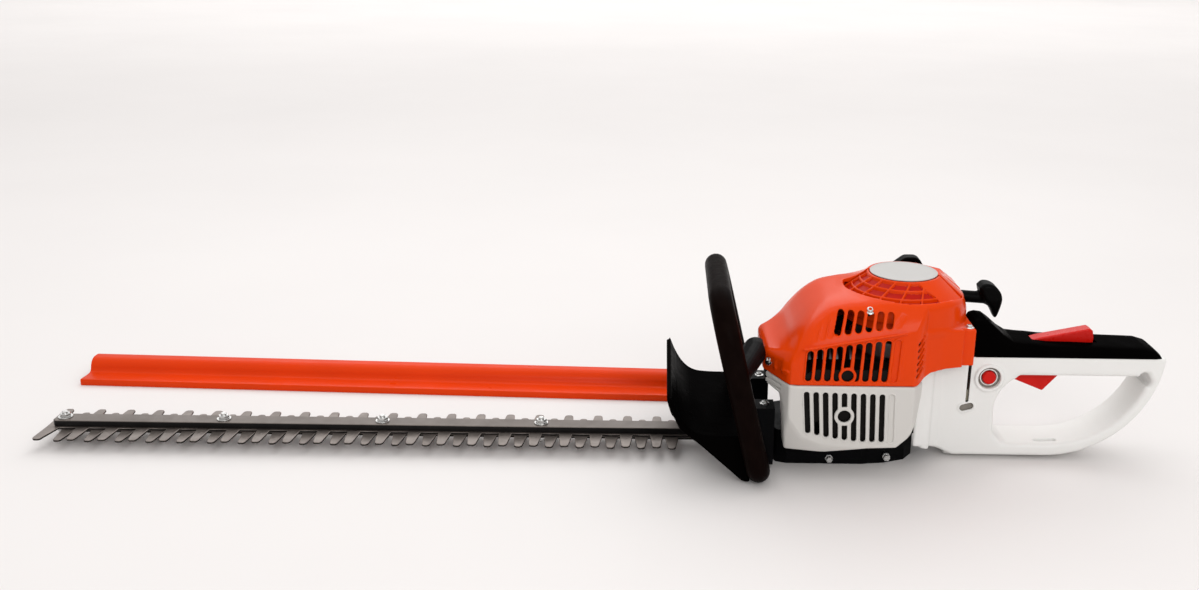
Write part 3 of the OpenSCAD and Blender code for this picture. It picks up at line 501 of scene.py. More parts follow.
def curve_through(knots, x):
    """Smooth curve through (x, value) knots, read at x."""
    kx, kv = (np.array(k, float) for k in zip(*knots))
    slope = np.gradient(kv, kx)
    i = np.clip(np.searchsorted(kx, x) - 1, 0, len(kx) - 2)
    h = kx[i + 1] - kx[i]
    t = np.clip((x - kx[i]) / h, 0, 1)
    value = (kv[i] * (1 + 2 * t) * (1 - t) ** 2 + kv[i + 1] * t * t * (3 - 2 * t)
             + h * slope[i] * t * (1 - t) ** 2 - h * slope[i + 1] * t * t * (1 - t))
    return value.astype(np.float32)


def even(field, space):
    """Field divided by its slope, so that it counts millimetres near its surface."""
    slopes = np.gradient(np.broadcast_to(field, space.shape), space.step)
    return field / np.maximum(np.sqrt(sum(s * s for s in slopes)), 0.2)


def tint(made, finish, chosen):
    """Gives a second finish to the faces whose centres (in millimetres) are chosen."""
    mesh = made.data
    centres = np.empty(len(mesh.polygons) * 3, np.float32)
    mesh.polygons.foreach_get("center", centres)
    x, y, z = (centres.reshape(-1, 3) / MM).T
    mesh.materials.append(FINISHES[finish])
    index = np.empty(len(mesh.polygons), np.int32)
    mesh.polygons.foreach_get("material_index", index)
    index[chosen(x, y, z)] = len(mesh.materials) - 1
    mesh.polygons.foreach_set("material_index", index)
    mesh.update()


def tint_edges(made, finish):
    """Gives a second finish to a flat plate's upright faces."""
    mesh = made.data
    normals = np.empty(len(mesh.polygons) * 3, np.float32)
    mesh.polygons.foreach_get("normal", normals)
    mesh.materials.append(FINISHES[finish])
    mesh.polygons.foreach_set("material_index", (np.abs(normals[2::3]) < 0.3).astype(np.int32))
    mesh.update()


def line_at(knots, x):
    """Straight-line reading of (x, value) knots."""
    kx, kv = zip(*knots)
    return np.interp(x.ravel(), kx, kv).astype(np.float32).reshape(x.shape)


# ---------------------------------------------------------------- fan cover and shroud

CONE = [(0, 141), (56, 141), (56, 165), (34, 184), (0, 184)]
CONE_INSIDE = [(0, 139), (53.5, 139), (53.5, 162), (33, 179), (0, 179)]
OUTLET = [(18, 141), (60, 141), (60, 160), (57, 166), (44, 176), (18, 182)]
GRILLE_ROWS = [(34.9, 40.4), (41.8, 47.6), (49.0, 55.2)]
RIB_STEP = 22.5


def grille_cells(x, y):
    """Distance to the grille's windows between its rings and its swept ribs, in plan."""
    r = np.maximum(np.hypot(x, y), 1)
    turn = np.degrees(np.arctan2(y, x))
    rib_turn = -104 + 14 * np.maximum((56 - r) / 22, 0) ** 1.6
    aside = (turn - rib_turn + RIB_STEP / 2) % RIB_STEP - RIB_STEP / 2
    ribs = 0.95 - np.abs(aside) * r * math.pi / 180
    rows = np.min([np.abs(r - (a + b) / 2) - (b - a) / 2 for a, b in GRILLE_ROWS], 0)
    start, end = (turn + 195) % 360, 195 - 104 + 44
    last = end + 1.3 * np.minimum(r - 48, 0)
    sector = np.maximum(-start, start - last) * r * math.pi / 180
    sector = np.where(start > 300, (360 - start) * r * math.pi / 180, sector)
    return np.maximum(np.maximum(rows, ribs), sector)


def cone_distance(s, grow=0.0):
    r = np.hypot(s.x, s.y)
    return soft_outline(CONE, 1.2, r, s.z) - grow


def starter_cover():
    s = Space((-56, -56, 141), (60, 56, 184), 0.6)
    cone = cone_distance(s)
    outlet = meet(soft_outline(OUTLET, 1.5, s.x, s.z), slab(s.y, 6, 43), 3)
    solid = join(cone, outlet, 4)
    cells = np.broadcast_to(grille_cells(s.x, s.y), s.shape)
    solid = cut(solid, np.maximum(cells, -(cone + 2.2)), 0.45)
    solid = cut(solid, disc_z(s, 0, 0, 32.6, 183.2, 190, 0.2), 0.4)
    hollow = soft_outline(CONE_INSIDE, 1, np.hypot(s.x, s.y), s.z)
    way_out = np.maximum(meet(slab(s.y, 12.5, 39.5), slab(s.x, 18, 57.5), 0.5), s.z - 160)
    solid = cut(cut(solid, hollow, 0.4), way_out, 0.4)
    solid = cut(solid, capsule(s, (50, 25, 152), (70, 25, 152), 2.6), 0.6)
    made = surface("starter_cover_shell", s, solid)
    # faces inside the grille's sunk windows get the darker red: painted shade in the recesses
    tint(made_with(made, "orange_plastic"), "grille_painted_shade",
         lambda x, y, z: (grille_cells(x, y) < -0.1) & (z < 184 - (np.hypot(x, y) - 34) * 19 / 22 - 0.7)
         & (z > 160))
    return piece(made, "machine", "orange_plastic", "starter_cover")


SHROUD_PLAN = [(-134, -36), (-112, -74), (3, -74), (14, -60), (30, -53), (52, -46.5), (52, -42),
               (64, -42), (64, 42), (30, 58), (-104, 58), (-134, 36)]
ROOF = [(-150, 20), (-134, 22.5), (-118, 29.5), (-111, 36), (-104, 46), (-94, 58), (-80, 69),
        (-60, 75), (-36, 78), (20, 78), (40, 74), (55, 64), (66, 54)]
SEAM = [(-134, 98), (-106, 95), (7, 95), (20, 103), (36, 105), (64, 105)]
SHELL_WALL = 2.6
PANEL = [(-102, 99.5), (-102, 128), (-7, 145.5), (-7, 99.5)]
CORNER_X, CORNER_Y = 3, -74
CORNER_RUN = (16, 13)
CORNER_LENGTH = 20.6
NOSE_RIBS = [((-123, -52.5, 106), (-121.5, -52, 113), 2.2, 2.5),
             ((-116.5, -64, 107), (-114, -63, 116), 2.6, 2.5),
             ((-117.5, -64.5, 106.5), (-114, -69.5, 107.5), 1.6, 0.8)]
GRILLE_START, GRILLE_END = math.radians(166), math.radians(340)


def crease(x):
    """Height of the crease along the muffler side."""
    return 130.7 + (x + 100) * 0.183


def shroud_slots():
    """Slots of the side panel: upper end, lower end and whether they go through."""
    tops = [(-94 + 8.8 * i, 125.9 + 1.85 * i - 0.06 * i * i) for i in range(10)]
    feet = [(-95.2 + 8.75 * i, 113.6 if i == 4 else 102.2) for i in range(10)]
    return [(a, b, i < 9) for i, (a, b) in enumerate(zip(tops, feet))]


def band_slots():
    """Slots of the leaning band above the crease."""
    open_ones = [((-66.3 + 9 * i, 160.6), (-70 + 9.4 * i, 145.3 + 1.4 * i), True) for i in range(6)]
    left_ones = [((-90.8 + 6.2 * i, 160.3), (-98.3 + 7.2 * i, 138 + 1.6 * i), False) for i in range(4)]
    return open_ones + left_ones + [((-10, 160.6), (-15, 153.1), False)]


def shroud_hull(s, band):
    """Shroud without openings: plan, leaning band, arched roof and the rear corner's ledge."""
    x, y, z = s.x, s.y, s.z
    plan = soft_outline(SHROUD_PLAN, 2.5, x, y)
    reach = np.where(y < 5, 79, 53.5).astype(np.float32)
    height = np.maximum(z - 95, 0) / curve_through(ROOF, x)
    roof = ((np.abs(y - 5) / reach) ** 5 + height ** 5) ** 0.2 - 1
    roof = even(75 * roof, s)
    solid = meet(meet(plan, band, 2), roof, 6)
    ledge = 146 - 5 * (x - 11) / 50
    return cut(solid, np.maximum(meet(60 - np.hypot(x, y), ledge - z, 2.5), 13 - x), 2)


def shroud_panel(s, solid):
    """Sinks the side panel, with its rimmed slots and the screw hole."""
    x, y, z = s.x, s.y, s.z
    panel = soft_outline(PANEL, 3, x, z)
    solid = cut(solid, meet(panel, y + 72.2, 0.5), 0.8)
    rims, windows = None, None
    for top, foot, through in shroud_slots():
        shape = slot_2d(x, z, top, foot, 2.9)
        rims = shape if rims is None else np.minimum(rims, shape)
        window = shape if through else np.maximum(shape, y + 70.8)
        windows = np.broadcast_to(window, s.shape) if windows is None else np.minimum(windows, window)
    hole = np.hypot(x + 59.2, z - 104.8)
    rims = np.minimum(rims, hole - 6)
    windows = np.maximum(windows, 8.2 - hole)
    solid = join(solid, np.maximum(rims - 1.5, np.abs(y + 71.6) - 1.3), 0.6)
    return cut(solid, np.maximum(np.minimum(windows, hole - 5.6), y + 60), 0.6)


def shroud_band(s, solid, band):
    """Cuts the leaning band's slots and lays the bead along its crease."""
    for top, foot, through in band_slots():
        if through:
            shape = np.maximum(slot_2d(s.x, s.z, top, foot, 2.9), s.y + 45)
        else:
            shape = np.maximum(slot_2d(s.x, s.z, top, foot, 2.4), -(band + 1.7))
        solid = cut(solid, shape, 0.7)
    return join(solid, capsule(s, (-100, -73.3, 130.4), (-8, -73.3, 147.2), 1.2), 1.5)


def corner_louvre(s, solid):
    """Cuts the slanting grooves of the corner beside the panel."""
    run_x, run_y = CORNER_RUN
    across = ((s.x - CORNER_X) * run_y + (s.y - CORNER_Y) * run_x) / CORNER_LENGTH
    outward = ((s.x - CORNER_X) * run_x - (s.y - CORNER_Y) * run_y) / CORNER_LENGTH
    for i in range(6):
        z_low = 104 + 6.2 * i
        shape = slot_2d(across, s.z, (5, z_low), (12.5, z_low + 6), 1.7)
        solid = cut(solid, np.maximum(shape, -(outward + 2.4)), 0.5)
    return solid


def shroud_inside(s, hull, band):
    """Room inside the shroud, less the backings of the blind slots."""
    inner = np.minimum(hull + SHELL_WALL, cone_distance(s, -0.2))
    panel_backing = np.maximum(np.maximum(slab(s.x, -23, -8), slab(s.z, 99, 144)), slab(s.y, -74, -68.5))
    band_backing = np.maximum(slab(band, -6, 0), np.minimum(slab(s.x, -104, -69), slab(s.x, -19, -6)))
    return np.maximum(inner, -np.minimum(panel_backing, band_backing))


def fan_opening(s, shell, filled):
    """Opens the shroud under the fan cover, with a collar around the opening and the air's way out."""
    x, y, z = s.x, s.y, s.z
    radius = np.hypot(x, y)
    collar = np.maximum(np.maximum(np.abs(radius - 57.6) - 2, filled), 150 - z)
    sector = np.maximum(x * math.sin(GRILLE_START) - y * math.cos(GRILLE_START),
                        -x * math.sin(GRILLE_END) + y * math.cos(GRILLE_END))
    opening = np.maximum(np.maximum(radius - 56.6, sector), 141 - z)
    shell = cut(np.minimum(shell, collar), opening, 0.8)
    outlet = np.maximum(slab(y, 5.5, 43.5), np.maximum(17 - x, 141 - z))
    return cut(shell, outlet, 0.6)


def engine_shroud():
    s = Space((-134, -74, 95), (64, 58, 184), 0.8)
    band = -(s.y + 74) * 0.857 + (s.z - crease(s.x)) * 0.514
    hull = shroud_hull(s, band)
    solid = shroud_band(s, shroud_panel(s, hull), band)
    solid = corner_louvre(s, solid)
    for a, b, r, fillet in NOSE_RIBS:
        solid = join(solid, capsule(s, a, b, r), fillet)
    cap = meet(cone_distance(s, 0.7), 141 - s.z, 0.5)
    filled = join(solid, cap, 9)
    shell = cut(filled, shroud_inside(s, hull, band), 0.5)
    shell = fan_opening(s, shell, filled)
    made = surface("engine_shroud_shell", s, np.maximum(shell, line_at(SEAM, s.x) - s.z))
    return piece(made, "machine", "orange_plastic", "engine_shroud")


# ---------------------------------------------------------------- muffler cover

MUFFLER_SIDE = [(-134, 97.6), (-134, 86), (-120, 82), (-117, 70), (-114, 27.3), (-76, 27), (-38, 32.5),
                (-10, 33.5), (0, 43), (9, 56), (14, 84), (14, 94.6), (-106, 94.6)]
MUFFLER_PLAN = [(-134, -36), (-112, -74), (3, -74), (14, -58), (14, -30), (-134, -30)]
MUFFLER_FIELD = [(-117, 120), (-116.4, 74), (-109, 60), (-98.7, 45), (-80, 36.3), (-39, 32.4), (-8, 35),
                 (2, 46), (40, 60), (40, 120)]


def muffler_cover():
    s = Space((-134, -74, 27), (14, -40, 98), 0.7)
    x, y, z = s.x, s.y, s.z
    solid = meet(soft_outline(MUFFLER_SIDE, 2.5, x, z), soft_outline(MUFFLER_PLAN, 2.5, x, y), 2)
    outside = np.maximum(soft_outline(MUFFLER_FIELD, 8, x, z), 0)
    solid = meet(solid, (-74 + 0.45 * outside - y), 2)
    inner = solid + SHELL_WALL
    for i in range(10):
        top = (-96 + 8.75 * i, 86.8 - 0.22 * i)
        foot = (-93.2 + 8.62 * i, 41.9 + 8.2 * max(0, 1 - i / 6) ** 1.5)
        shape = slot_2d(x, z, top, foot, 2.5)
        solid = join(solid, np.maximum(shape - 1.2, np.abs(y + 73.4) - 0.6), 0.3)
        solid = cut(solid, np.maximum(shape, y + 60 if i < 9 else y + 72.3), 0.6)
    ring = np.hypot(x + 60, z - 65.1)
    solid = join(solid, np.maximum(ring - 9.3, np.abs(y + 72.3) - 1.7), 0.5)
    shell = cut(solid, np.minimum(inner, np.maximum(inner - 1, 90 - z)), 0.4)
    shell = cut(shell, np.maximum(ring - 6, y + 60), 0.7)
    # steps beside the nose and the seam's groove
    for low in (86, 91):
        step = np.maximum(np.abs(z - low) - 0.7, x + 119)
        shell = cut(shell, np.maximum(step, -(solid + 1)), 0.3)
    shell = meet(shell, y + 40, 0.4)
    made = made_with(surface("muffler_cover_shell", s, shell), "cover_white")
    return piece(made, "machine", "white_plastic", "muffler_cover")


# ---------------------------------------------------------------- rear housing and its grip cover

REAR_OUTLINE = ([(12, 112), (12, 21), (20, 20), (56, 4.2), (146, 4)] + arc(146, 112, 108, -90, -4, 20)[1:]
                + [(251, 112)])
OPENING = ([(112, 88)] + arc(131, 52, 38, 120, 190, 8) + arc(111.5, 35, 18, 197, 270, 6)
           + arc(150, 110, 93, -90, -14, 14) + [(240, 88)])
BAY = [(0, 120), (0, 24), (57, 8), (83, 8), (88, 40), (92, 60), (100, 84), (100, 120)]
HALF_WIDTH = [(12, 44), (22, 41), (30, 31), (40, 24), (252, 24)]
REAR_TOP = [(12, 104), (64, 104), (66, 107)]
BUTTON_X, BUTTON_Z = 85.0, 86.0
CAP_X, CAP_Z = 66.0, 44.0
SLIT_X = 65.8
POCKET = ((62.4, 54.6), (69, 56.4), 3.4)
TRIGGER_PIVOT, LOCKOUT_PIVOT = (114, 92), (126, 115)
PIN_R = 2.6


def stop_ring(s, solid):
    """Ring, recess and inner rim around the stop button."""
    y = s.y
    button = np.hypot(s.x - BUTTON_X, s.z - BUTTON_Z)
    solid = join(solid, meet(button - 14.2, slab(y, -26.4, -18), 1.4), 1.2)
    solid = cut(solid, np.maximum(button - 10.8, np.maximum(y + 20.8, -30 - y)), 0.8)
    solid = np.minimum(solid, meet(button - 10.9, slab(y, -21.4, -18.5), 0.2))
    solid = join(solid, meet(np.abs(button - 8) - 0.8, slab(y, -22.8, -19), 0.4), 0.3)
    return cut(solid, np.maximum(button - 6.9, slab(y, -30, -10)), 0.3)


def drains(s, solid):
    """Slit that ends in an oval pocket, and the slot on the lower limb."""
    x, y, z = s.x, s.y, s.z
    slit = slot_2d(x, z, (SLIT_X, 112), (SLIT_X, 58), 1.25)
    solid = cut(solid, np.maximum(slit, y + 18), 0.5)
    pocket = slot_2d(x, z, *POCKET)
    solid = join(solid, meet(pocket - 1.7, slab(y, -24.9, -20), 0.6), 0.6)
    solid = cut(solid, np.maximum(pocket, y + 21.2), 0.6)
    limb_slot = meet(slot_2d(x, y, (140, -14), (157, -13), 2.6), slab(z, 12, 30), 0.5)
    return cut(solid, limb_slot, 0.8)


def rear_housing():
    s = Space((12, -44, 4), (251, 44, 107), 0.85)
    x, y, z = s.x, s.y, s.z
    side = even((np.abs(y) - line_at(HALF_WIDTH, x)) * np.ones_like(z), s)
    silhouette = soft_outline(REAR_OUTLINE, 3, x, z)
    outline = np.maximum(silhouette, z - line_at(REAR_TOP, x))
    solid = np.maximum(meet(silhouette, side, 3.5), outline)
    solid = cut(solid, soft_outline(OPENING, 5, x, z), 4.5)
    # ridge where the cheek turns into the flat panel
    for sign in (-1, 1):
        ridge = capsule(s, (24, sign * 33.5, 12), (24, sign * 33.5, 110), 5.5)
        solid = join(solid, np.maximum(ridge, outline), 4)
    bay = meet(soft_outline(BAY, 2, x, z), side + 3, 2)
    solid = cut(solid, bay, 0.6)
    limb = meet(meet(slab(x, 98, 238), slab(y, -21, 21), 2), 91 - z, 2)
    solid = cut(solid, limb, 0.5)
    # way through for the trigger
    solid = cut(solid, np.maximum(np.maximum(slab(x, 107, 161), slab(y, -8, 8)), 80 - z), 0.6)
    solid = cut(solid, disc_y(s, CAP_X, CAP_Z, 18, 20, 30, 0.6), 1)
    solid = drains(s, stop_ring(s, solid))
    # trigger's pin and the throttle cable's notch
    pin = np.hypot(x - TRIGGER_PIVOT[0], z - TRIGGER_PIVOT[1]) - PIN_R
    solid = cut(solid, np.maximum(pin, np.abs(y) - 22.4), 0.2)
    solid = cut(solid, np.maximum(np.maximum(slab(x, 56, 72), slab(y, 17, 29)), 98 - z), 0.5)
    foot = meet(meet(slab(x, 50, 118), slab(y, -15, 15), 3), slab(z, 0.1, 6), 1)
    solid = join(solid, foot, 1)
    bulkhead = np.maximum(np.maximum(slab(x, 38.5, 41.5), slab(y, -22, 22)), slab(z, 14, 94))
    made = made_with(surface("rear_housing_shell", s, np.minimum(solid, bulkhead)), "white_plastic")
    # faces inside the stop button's recess and the oval pocket get grey: painted shade
    tint(made, "recess_painted_shade", lambda x, y, z: (y < -18) & (
        ((np.hypot(x - BUTTON_X, z - BUTTON_Z) < 10.9) & (y > -22.4))
        | ((slot_2d(x, z, *POCKET) < 0.1) & (y > -23))))
    # the slit's inside faces get black: painted shade in the slit
    tint(made, "black_plastic",
         lambda x, y, z: (np.abs(x - SLIT_X) < 1.35) & (np.abs(y) < 23.7) & (z > 59))
    return piece(made, "machine", "white_plastic", "rear_housing")


GRIP_OUTLINE = [(67, 98), (67, 138.5), (69, 141.5), (74, 143), (81, 142), (88, 137), (98, 128.5),
                (107, 123), (118, 121.8), (128, 121.2), (140, 119.8), (186, 118.8), (234, 117.4),
                (244, 114.6), (249, 110.6), (251, 106.6), (251, 98)]
GRIP_SECTION = [(-24, 98), (-24, 117), (-21, 127), (-14, 152), (14, 152), (21, 127), (24, 117), (24, 98)]


def grip_cover():
    s = Space((67, -24, 107), (251, 24, 147), 0.7)
    x, y, z = s.x, s.y, s.z
    profile = soft_outline(GRIP_OUTLINE, 1, x, z)
    section = soft_outline(GRIP_SECTION, 2, y, z)
    crown = even((np.abs(y) / 26) ** 4 * 5.5 + (z - line_at(GRIP_OUTLINE[1:-1], x)), s)
    solid = meet(meet(profile, section, 3), crown, 3)
    solid = np.maximum(solid, 106.95 - z)
    for groove in range(5):
        place = 200 + 6 * groove
        rib = np.hypot(x - place, z - (line_at(GRIP_OUTLINE[1:-1], x) + 0.2)) - 0.8
        solid = cut(solid, np.maximum(rib, np.abs(y) - 14), 0.4)
    inner = np.maximum(np.maximum(profile + 2.5, section + 2.5), crown + 2.5)
    shell = cut(solid, np.minimum(inner, np.maximum(inner - 0.9, z - 111)), 0.4)
    lever = meet(slab(x, 127, 190), slab(y, -7.8, 7.8), 1)
    shell = cut(shell, np.maximum(lever, 108 - z), 0.6)
    lever_front = np.maximum(np.maximum(slab(x, 118, 130), slab(y, -8.2, 8.2)), slab(z, 105, 119.6))
    shell = cut(shell, lever_front, 0.2)
    made = surface("grip_cover_shell", s, shell)
    return piece(made, "machine", "black_gloss", "grip_cover")


# ---------------------------------------------------------------- air filter cover

FILTER_OUTLINE = [(-84, 62), (-84, 104), (-52, 132), (6, 164), (19, 174), (33, 174), (41, 160), (47, 140),
                  (47, 62)]


def filter_cover():
    s = Space((-84, 86, 96), (47, 104, 174), 0.8)
    outline = soft_outline(FILTER_OUTLINE, 9, s.x, s.z)
    solid = meet(outline, slab(s.y, 76, 104), 7)
    hollow = meet(outline + 2.5, s.y - 101.5, 4)
    solid = np.maximum(cut(solid, hollow, 0.4), np.maximum(86.3 - s.y, 96 - s.z))
    ribs = np.min([slot_2d(s.x, s.z, (-66 + 9 * i, 104), (-66 + 9 * i, 118 + 4.6 * i), 1.4)
                   for i in range(5)], 0)
    solid = cut(solid, np.maximum(ribs, 103 - s.y), 0.4)
    solid = cut(solid, np.maximum(np.hypot(s.x, s.z - 120) - 3.3, np.abs(s.y - 103) - 9), 0.3)
    made = surface("filter_cover_shell", s, solid)
    return piece(made, "filter_cover_body", "black_plastic", "filter_cover")


# ---------------------------------------------------------------- hand guard, loop handle, pull handle

def eased(points):
    """Open path with its corners cut off twice, which nearly rounds them."""
    for _ in range(2):
        path = [points[0]]
        for (ax, ay), (bx, by) in zip(points, points[1:]):
            path.append((0.75 * ax + 0.25 * bx, 0.75 * ay + 0.25 * by))
            path.append((0.25 * ax + 0.75 * bx, 0.25 * ay + 0.75 * by))
        points = path + [points[-1]]
    return points


SCOOP = eased([(-223, 85), (-218, 72), (-210, 58), (-199, 48.5), (-184, 46), (-152, 46)])
SKIRT = [(-215, 77), (-209, 61), (-199.5, 45), (-153.5, 3), (-146.5, 2.4), (-150, 46), (-184, 46),
         (-199, 49.5), (-209.5, 59)]


def hand_guard():
    s = Space((-226, -86, 2), (-145, 86, 88), 0.9)
    x, y, z = s.x, s.y, s.z
    line = np.min([slot_2d(x, z, a, b, 1.5) for a, b in zip(SCOOP, SCOOP[1:])], 0)
    line = np.minimum(line, slot_2d(x, z, (-222.2, 83.6), (-217.5, 71), 2.8))
    wide = slab(y, -85, 85)
    corner = meet(wide, z - 86, 14)
    plate_part = meet(line * np.ones_like(y), corner, 1.2)
    skirt = soft_outline(SKIRT, 1.5, x, z)
    skirts = meet(skirt, np.abs(np.abs(y) - 83.4) - 1.6, 0.8)
    solid = join(plate_part, skirts, 7)
    below = outline_distance([(-230, 100)] + SCOOP[:-1]
                             + [(-130, 46), (-130, -30), (-290, -30), (-290, 100)], x, z) - 1.7
    solid = meet(solid, meet(wide * np.ones_like(x), below, 4), 0.5)
    for sign in (-1, 1):
        rib = meet(slot_2d(x, z, (-205, 52), (-154, 8), 1.4), np.abs(y - sign * 84.4) - 1.4, 0.5)
        solid = join(solid, rib, 1)
    made = surface("hand_guard_shell", s, solid)
    return piece(made, "machine", "black_gloss", "hand_guard")


LOOP_FOOT = Vector((-138, 0, 11))
LOOP_LEAN = math.radians(13.5)
LOOP_R = 11.0


def loop_points():
    """Path of the loop in its leaning plane, from one foot to the other."""
    half = [(46, 0), (60, 0)] + arc(75, 15, 15, -90, 0, 8) + [(90, 70)] + arc(48, 125, 42, 0, 90, 14)
    return [(-u, v) for u, v in half] + [(u, v) for u, v in reversed(half)]


def tube(name, points, r, steps):
    """Round tube through points in millimetres."""
    data = bpy.data.curves.new(name, "CURVE")
    data.dimensions = "3D"
    data.bevel_depth = r * MM
    data.bevel_resolution = steps // 4
    data.use_fill_caps = True
    spline = data.splines.new("POLY")
    spline.points.add(len(points) - 1)
    spline.points.foreach_set("co", [c for p in points for c in (*(Vector(p) * MM), 1)])
    holder = linked(name, data)
    mesh = bpy.data.meshes.new_from_object(holder.evaluated_get(bpy.context.evaluated_depsgraph_get()))
    bpy.data.objects.remove(holder)
    smooth_by_angle(mesh, 50)
    return linked(name, mesh)


def front_handle():
    path = [(LOOP_FOOT.x - v * math.sin(LOOP_LEAN), u, LOOP_FOOT.z + v * math.cos(LOOP_LEAN))
            for u, v in loop_points()]
    made = tube("loop_handle", path, LOOP_R, 32)
    return piece(made, "machine", "handle_grip", "front_handle")


PULL_HEAD = [(79.1, 163.4), (83.9, 168.4), (93.4, 166.5), (100.8, 158.8), (102.9, 150.9), (101.6, 141),
             (99.6, 132), (96.9, 131.3), (94, 136.9), (91, 142.8), (86, 148), (80.5, 157)]


def starter_grip():
    s = Space((58, 14, 129), (106, 36, 171), 0.5)
    sleeve = capsule(s, (60.5, 25, 153), (92, 25, 151), 6.0, 5.8)
    sleeve = meet(sleeve, 60.5 - s.x, 0.8)
    across = 10.5 - 0.22 * np.maximum(152 - s.z, 0)
    profile = eased(PULL_HEAD + PULL_HEAD[:1])[:-1]
    head = meet(soft_outline(profile, 0.8, s.x, s.z), np.abs(s.y - 25) - across, 4.5)
    solid = join(sleeve, head, 3)
    solid = cut(solid, capsule(s, (55, 25, 152), (66, 25, 152), 1.8), 0.4)
    made = surface("pull_handle", s, solid)
    return piece(made, "pull_handle_body", "black_plastic", "starter_grip")


# ---------------------------------------------------------------- blades, bar and bolts

TIP_X, TOOTH_PITCH, TEETH = -834.0, 30.0, 21
GEAR_X = -39.75
BOLT_X = [-824 + 158.3 * i for i in range(4)]


def blade_outline(half_w, shift, tip_half, lean):
    """Blade in plan: teeth on both edges of the spine, then the yoke around the eccentric."""
    edge = []
    for i in range(TEETH):
        x = TIP_X + shift + TOOTH_PITCH * i
        out = lean if i == 0 else 0.0
        tip = [(tip_half + 0.5, 5), (tip_half + 0.1, 2.2), (tip_half - 0.9, 0.8), (tip_half - 2.2, 0.1)]
        edge += ([(x - 6.4, 9.5)] + [(x - out - w, half_w - low) for w, low in tip]
                 + [(x - out + w, half_w - low) for w, low in reversed(tip)] + [(x + 6.4, 9.5)])
    yoke = ([(GEAR_X - 20.7, 9.5)] + arc(GEAR_X - 12.7, 18.5, 8, 180, 90, 6)
            + arc(GEAR_X + 12.7, 18.5, 8, 90, 0, 6))
    one_side = edge + yoke
    return [(x, -y) for x, y in one_side] + one_side[::-1]


def long_hole(x, half_l, half_w):
    return arc(x + half_l, 0, half_w, -90, 90, 6) + arc(x - half_l, 0, half_w, 90, 270, 6)


def blade(name, body, node, half_w, shift, tip_half, lean, z0, z1):
    outline = blade_outline(half_w, shift, tip_half, lean)
    window = [(GEAR_X + sx * 13.2, sy * 19) for sx, sy in ((-1, -1), (1, -1), (1, 1), (-1, 1))]
    holes = [long_hole(x, 8, 4.3) for x in BOLT_X]
    start = outline[0][0]
    if start > BOLT_X[0] - 12.3:
        outline += [(start, 4.3)] + arc(BOLT_X[0] + 8, 0, 4.3, 90, -90, 6) + [(start, -4.3)]
        holes = holes[1:]
    loops = [outline, window] + holes
    made = made_with(plate(name, loops, z0, z1, 0.5), "blade_steel")
    tint_edges(made, "edge_steel")
    return piece(made, body, "blade_steel", node)


def guide_bar():
    x0, x1 = TIP_X + 0.5, -84
    loop = [(x0, -6), (x0 + 3, -9), (x1, -9), (x1, 9), (x0 + 3, 9), (x0, 6)]
    holes = [arc(x, 0, 3.1, 0, 345, 23) for x in BOLT_X]
    made = plate("guide_bar_steel", [loop] + holes, 15.3, 22.1, 0.6)
    tint_edges(made_with(made, "bar_steel"), "edge_steel")
    return piece(made, "machine", "bar_steel", "guide_bar")


def merged(name, parts):
    """One object out of several, which are used up."""
    bm = bmesh.new()
    for part in parts:
        bm.from_mesh(part.data)
        bpy.data.objects.remove(part)
    mesh = bpy.data.meshes.new(name)
    bm.to_mesh(mesh)
    bm.free()
    return linked(name, mesh)


# turned parts of one bolt: name, (radius, height) profile and number of sides
BOLT_PARTS = [
    ("washer", [(3.2, 22.1), (6.8, 22.1), (7, 22.3), (7, 23), (6.8, 23.3), (3.2, 23.3)], 48),
    ("nut", [(5.2, 23.3), (5.5, 23.8), (5.5, 26), (4.9, 26.7), (0.5, 26.7)], 6),
    ("bolt_end", [(2.9, 26), (2.9, 28.2), (2.3, 28.8), (0.2, 28.8)], 24),
    ("shank", [(0.2, 4), (3, 4), (3, 24), (0.2, 24)], 24),
    ("lower_washer", [(3.2, 8), (8.3, 8), (8.5, 8.2), (8.5, 9.6), (8.3, 9.8), (3.2, 9.8)], 48),
    ("lock_nut", [(0.5, 3.4), (4.6, 3.4), (5.6, 4.4), (5.6, 7.6), (5.2, 8), (0.5, 8)], 6),
]


def bar_bolts():
    parts = [lathe(name, profile, (x, 0, 0), steps=sides)
             for x in BOLT_X for name, profile, sides in BOLT_PARTS]
    return piece(merged("bar_bolts", parts), "machine", "zinc", "bar_screws")


# ---------------------------------------------------------------- scabbard

SCABBARD_TURN = math.radians(-2.2)
SCABBARD_START = Vector((-874, 176.5, 0))
SCABBARD_LENGTH = 680
SCABBARD_WALL = 1.0
SCABBARD_HALF = [(-14, 0), (-39.6, 0), (-39.6, 6.4), (-38, 7), (-24, 6.2), (-17, 6.6), (-14.4, 10),
                 (-13, 14.5), (-9.5, 18.8), (-5, 20.8), (0, 20.8)]


def scabbard():
    side = SCABBARD_HALF[:1] + eased(SCABBARD_HALF[1:])
    outer = side[:-1] + [(-y, z) for y, z in reversed(side[:-1])]
    inner = inset(outer, SCABBARD_WALL)
    across = Vector((-math.sin(SCABBARD_TURN), math.cos(SCABBARD_TURN), 0))
    up = Vector((0, 0, 1))
    turn = Matrix((across, up, across.cross(up))).transposed().to_4x4()
    made = plate("blade_scabbard", [outer + inner[::-1]], 0, SCABBARD_LENGTH, 0.15,
                 Matrix.Translation(SCABBARD_START * MM) @ turn)
    smooth_by_angle(made.data)
    return piece(made, "scabbard_body", "scabbard_plastic", "scabbard")


# ---------------------------------------------------------------- small visible parts

def faced(made, place, facing):
    """Turned piece moved to a place, its axis along a direction."""
    made.data.transform(Matrix.Translation(Vector(place) * MM)
                        @ Vector(facing).to_track_quat("Z", "Y").to_matrix().to_4x4())
    return made


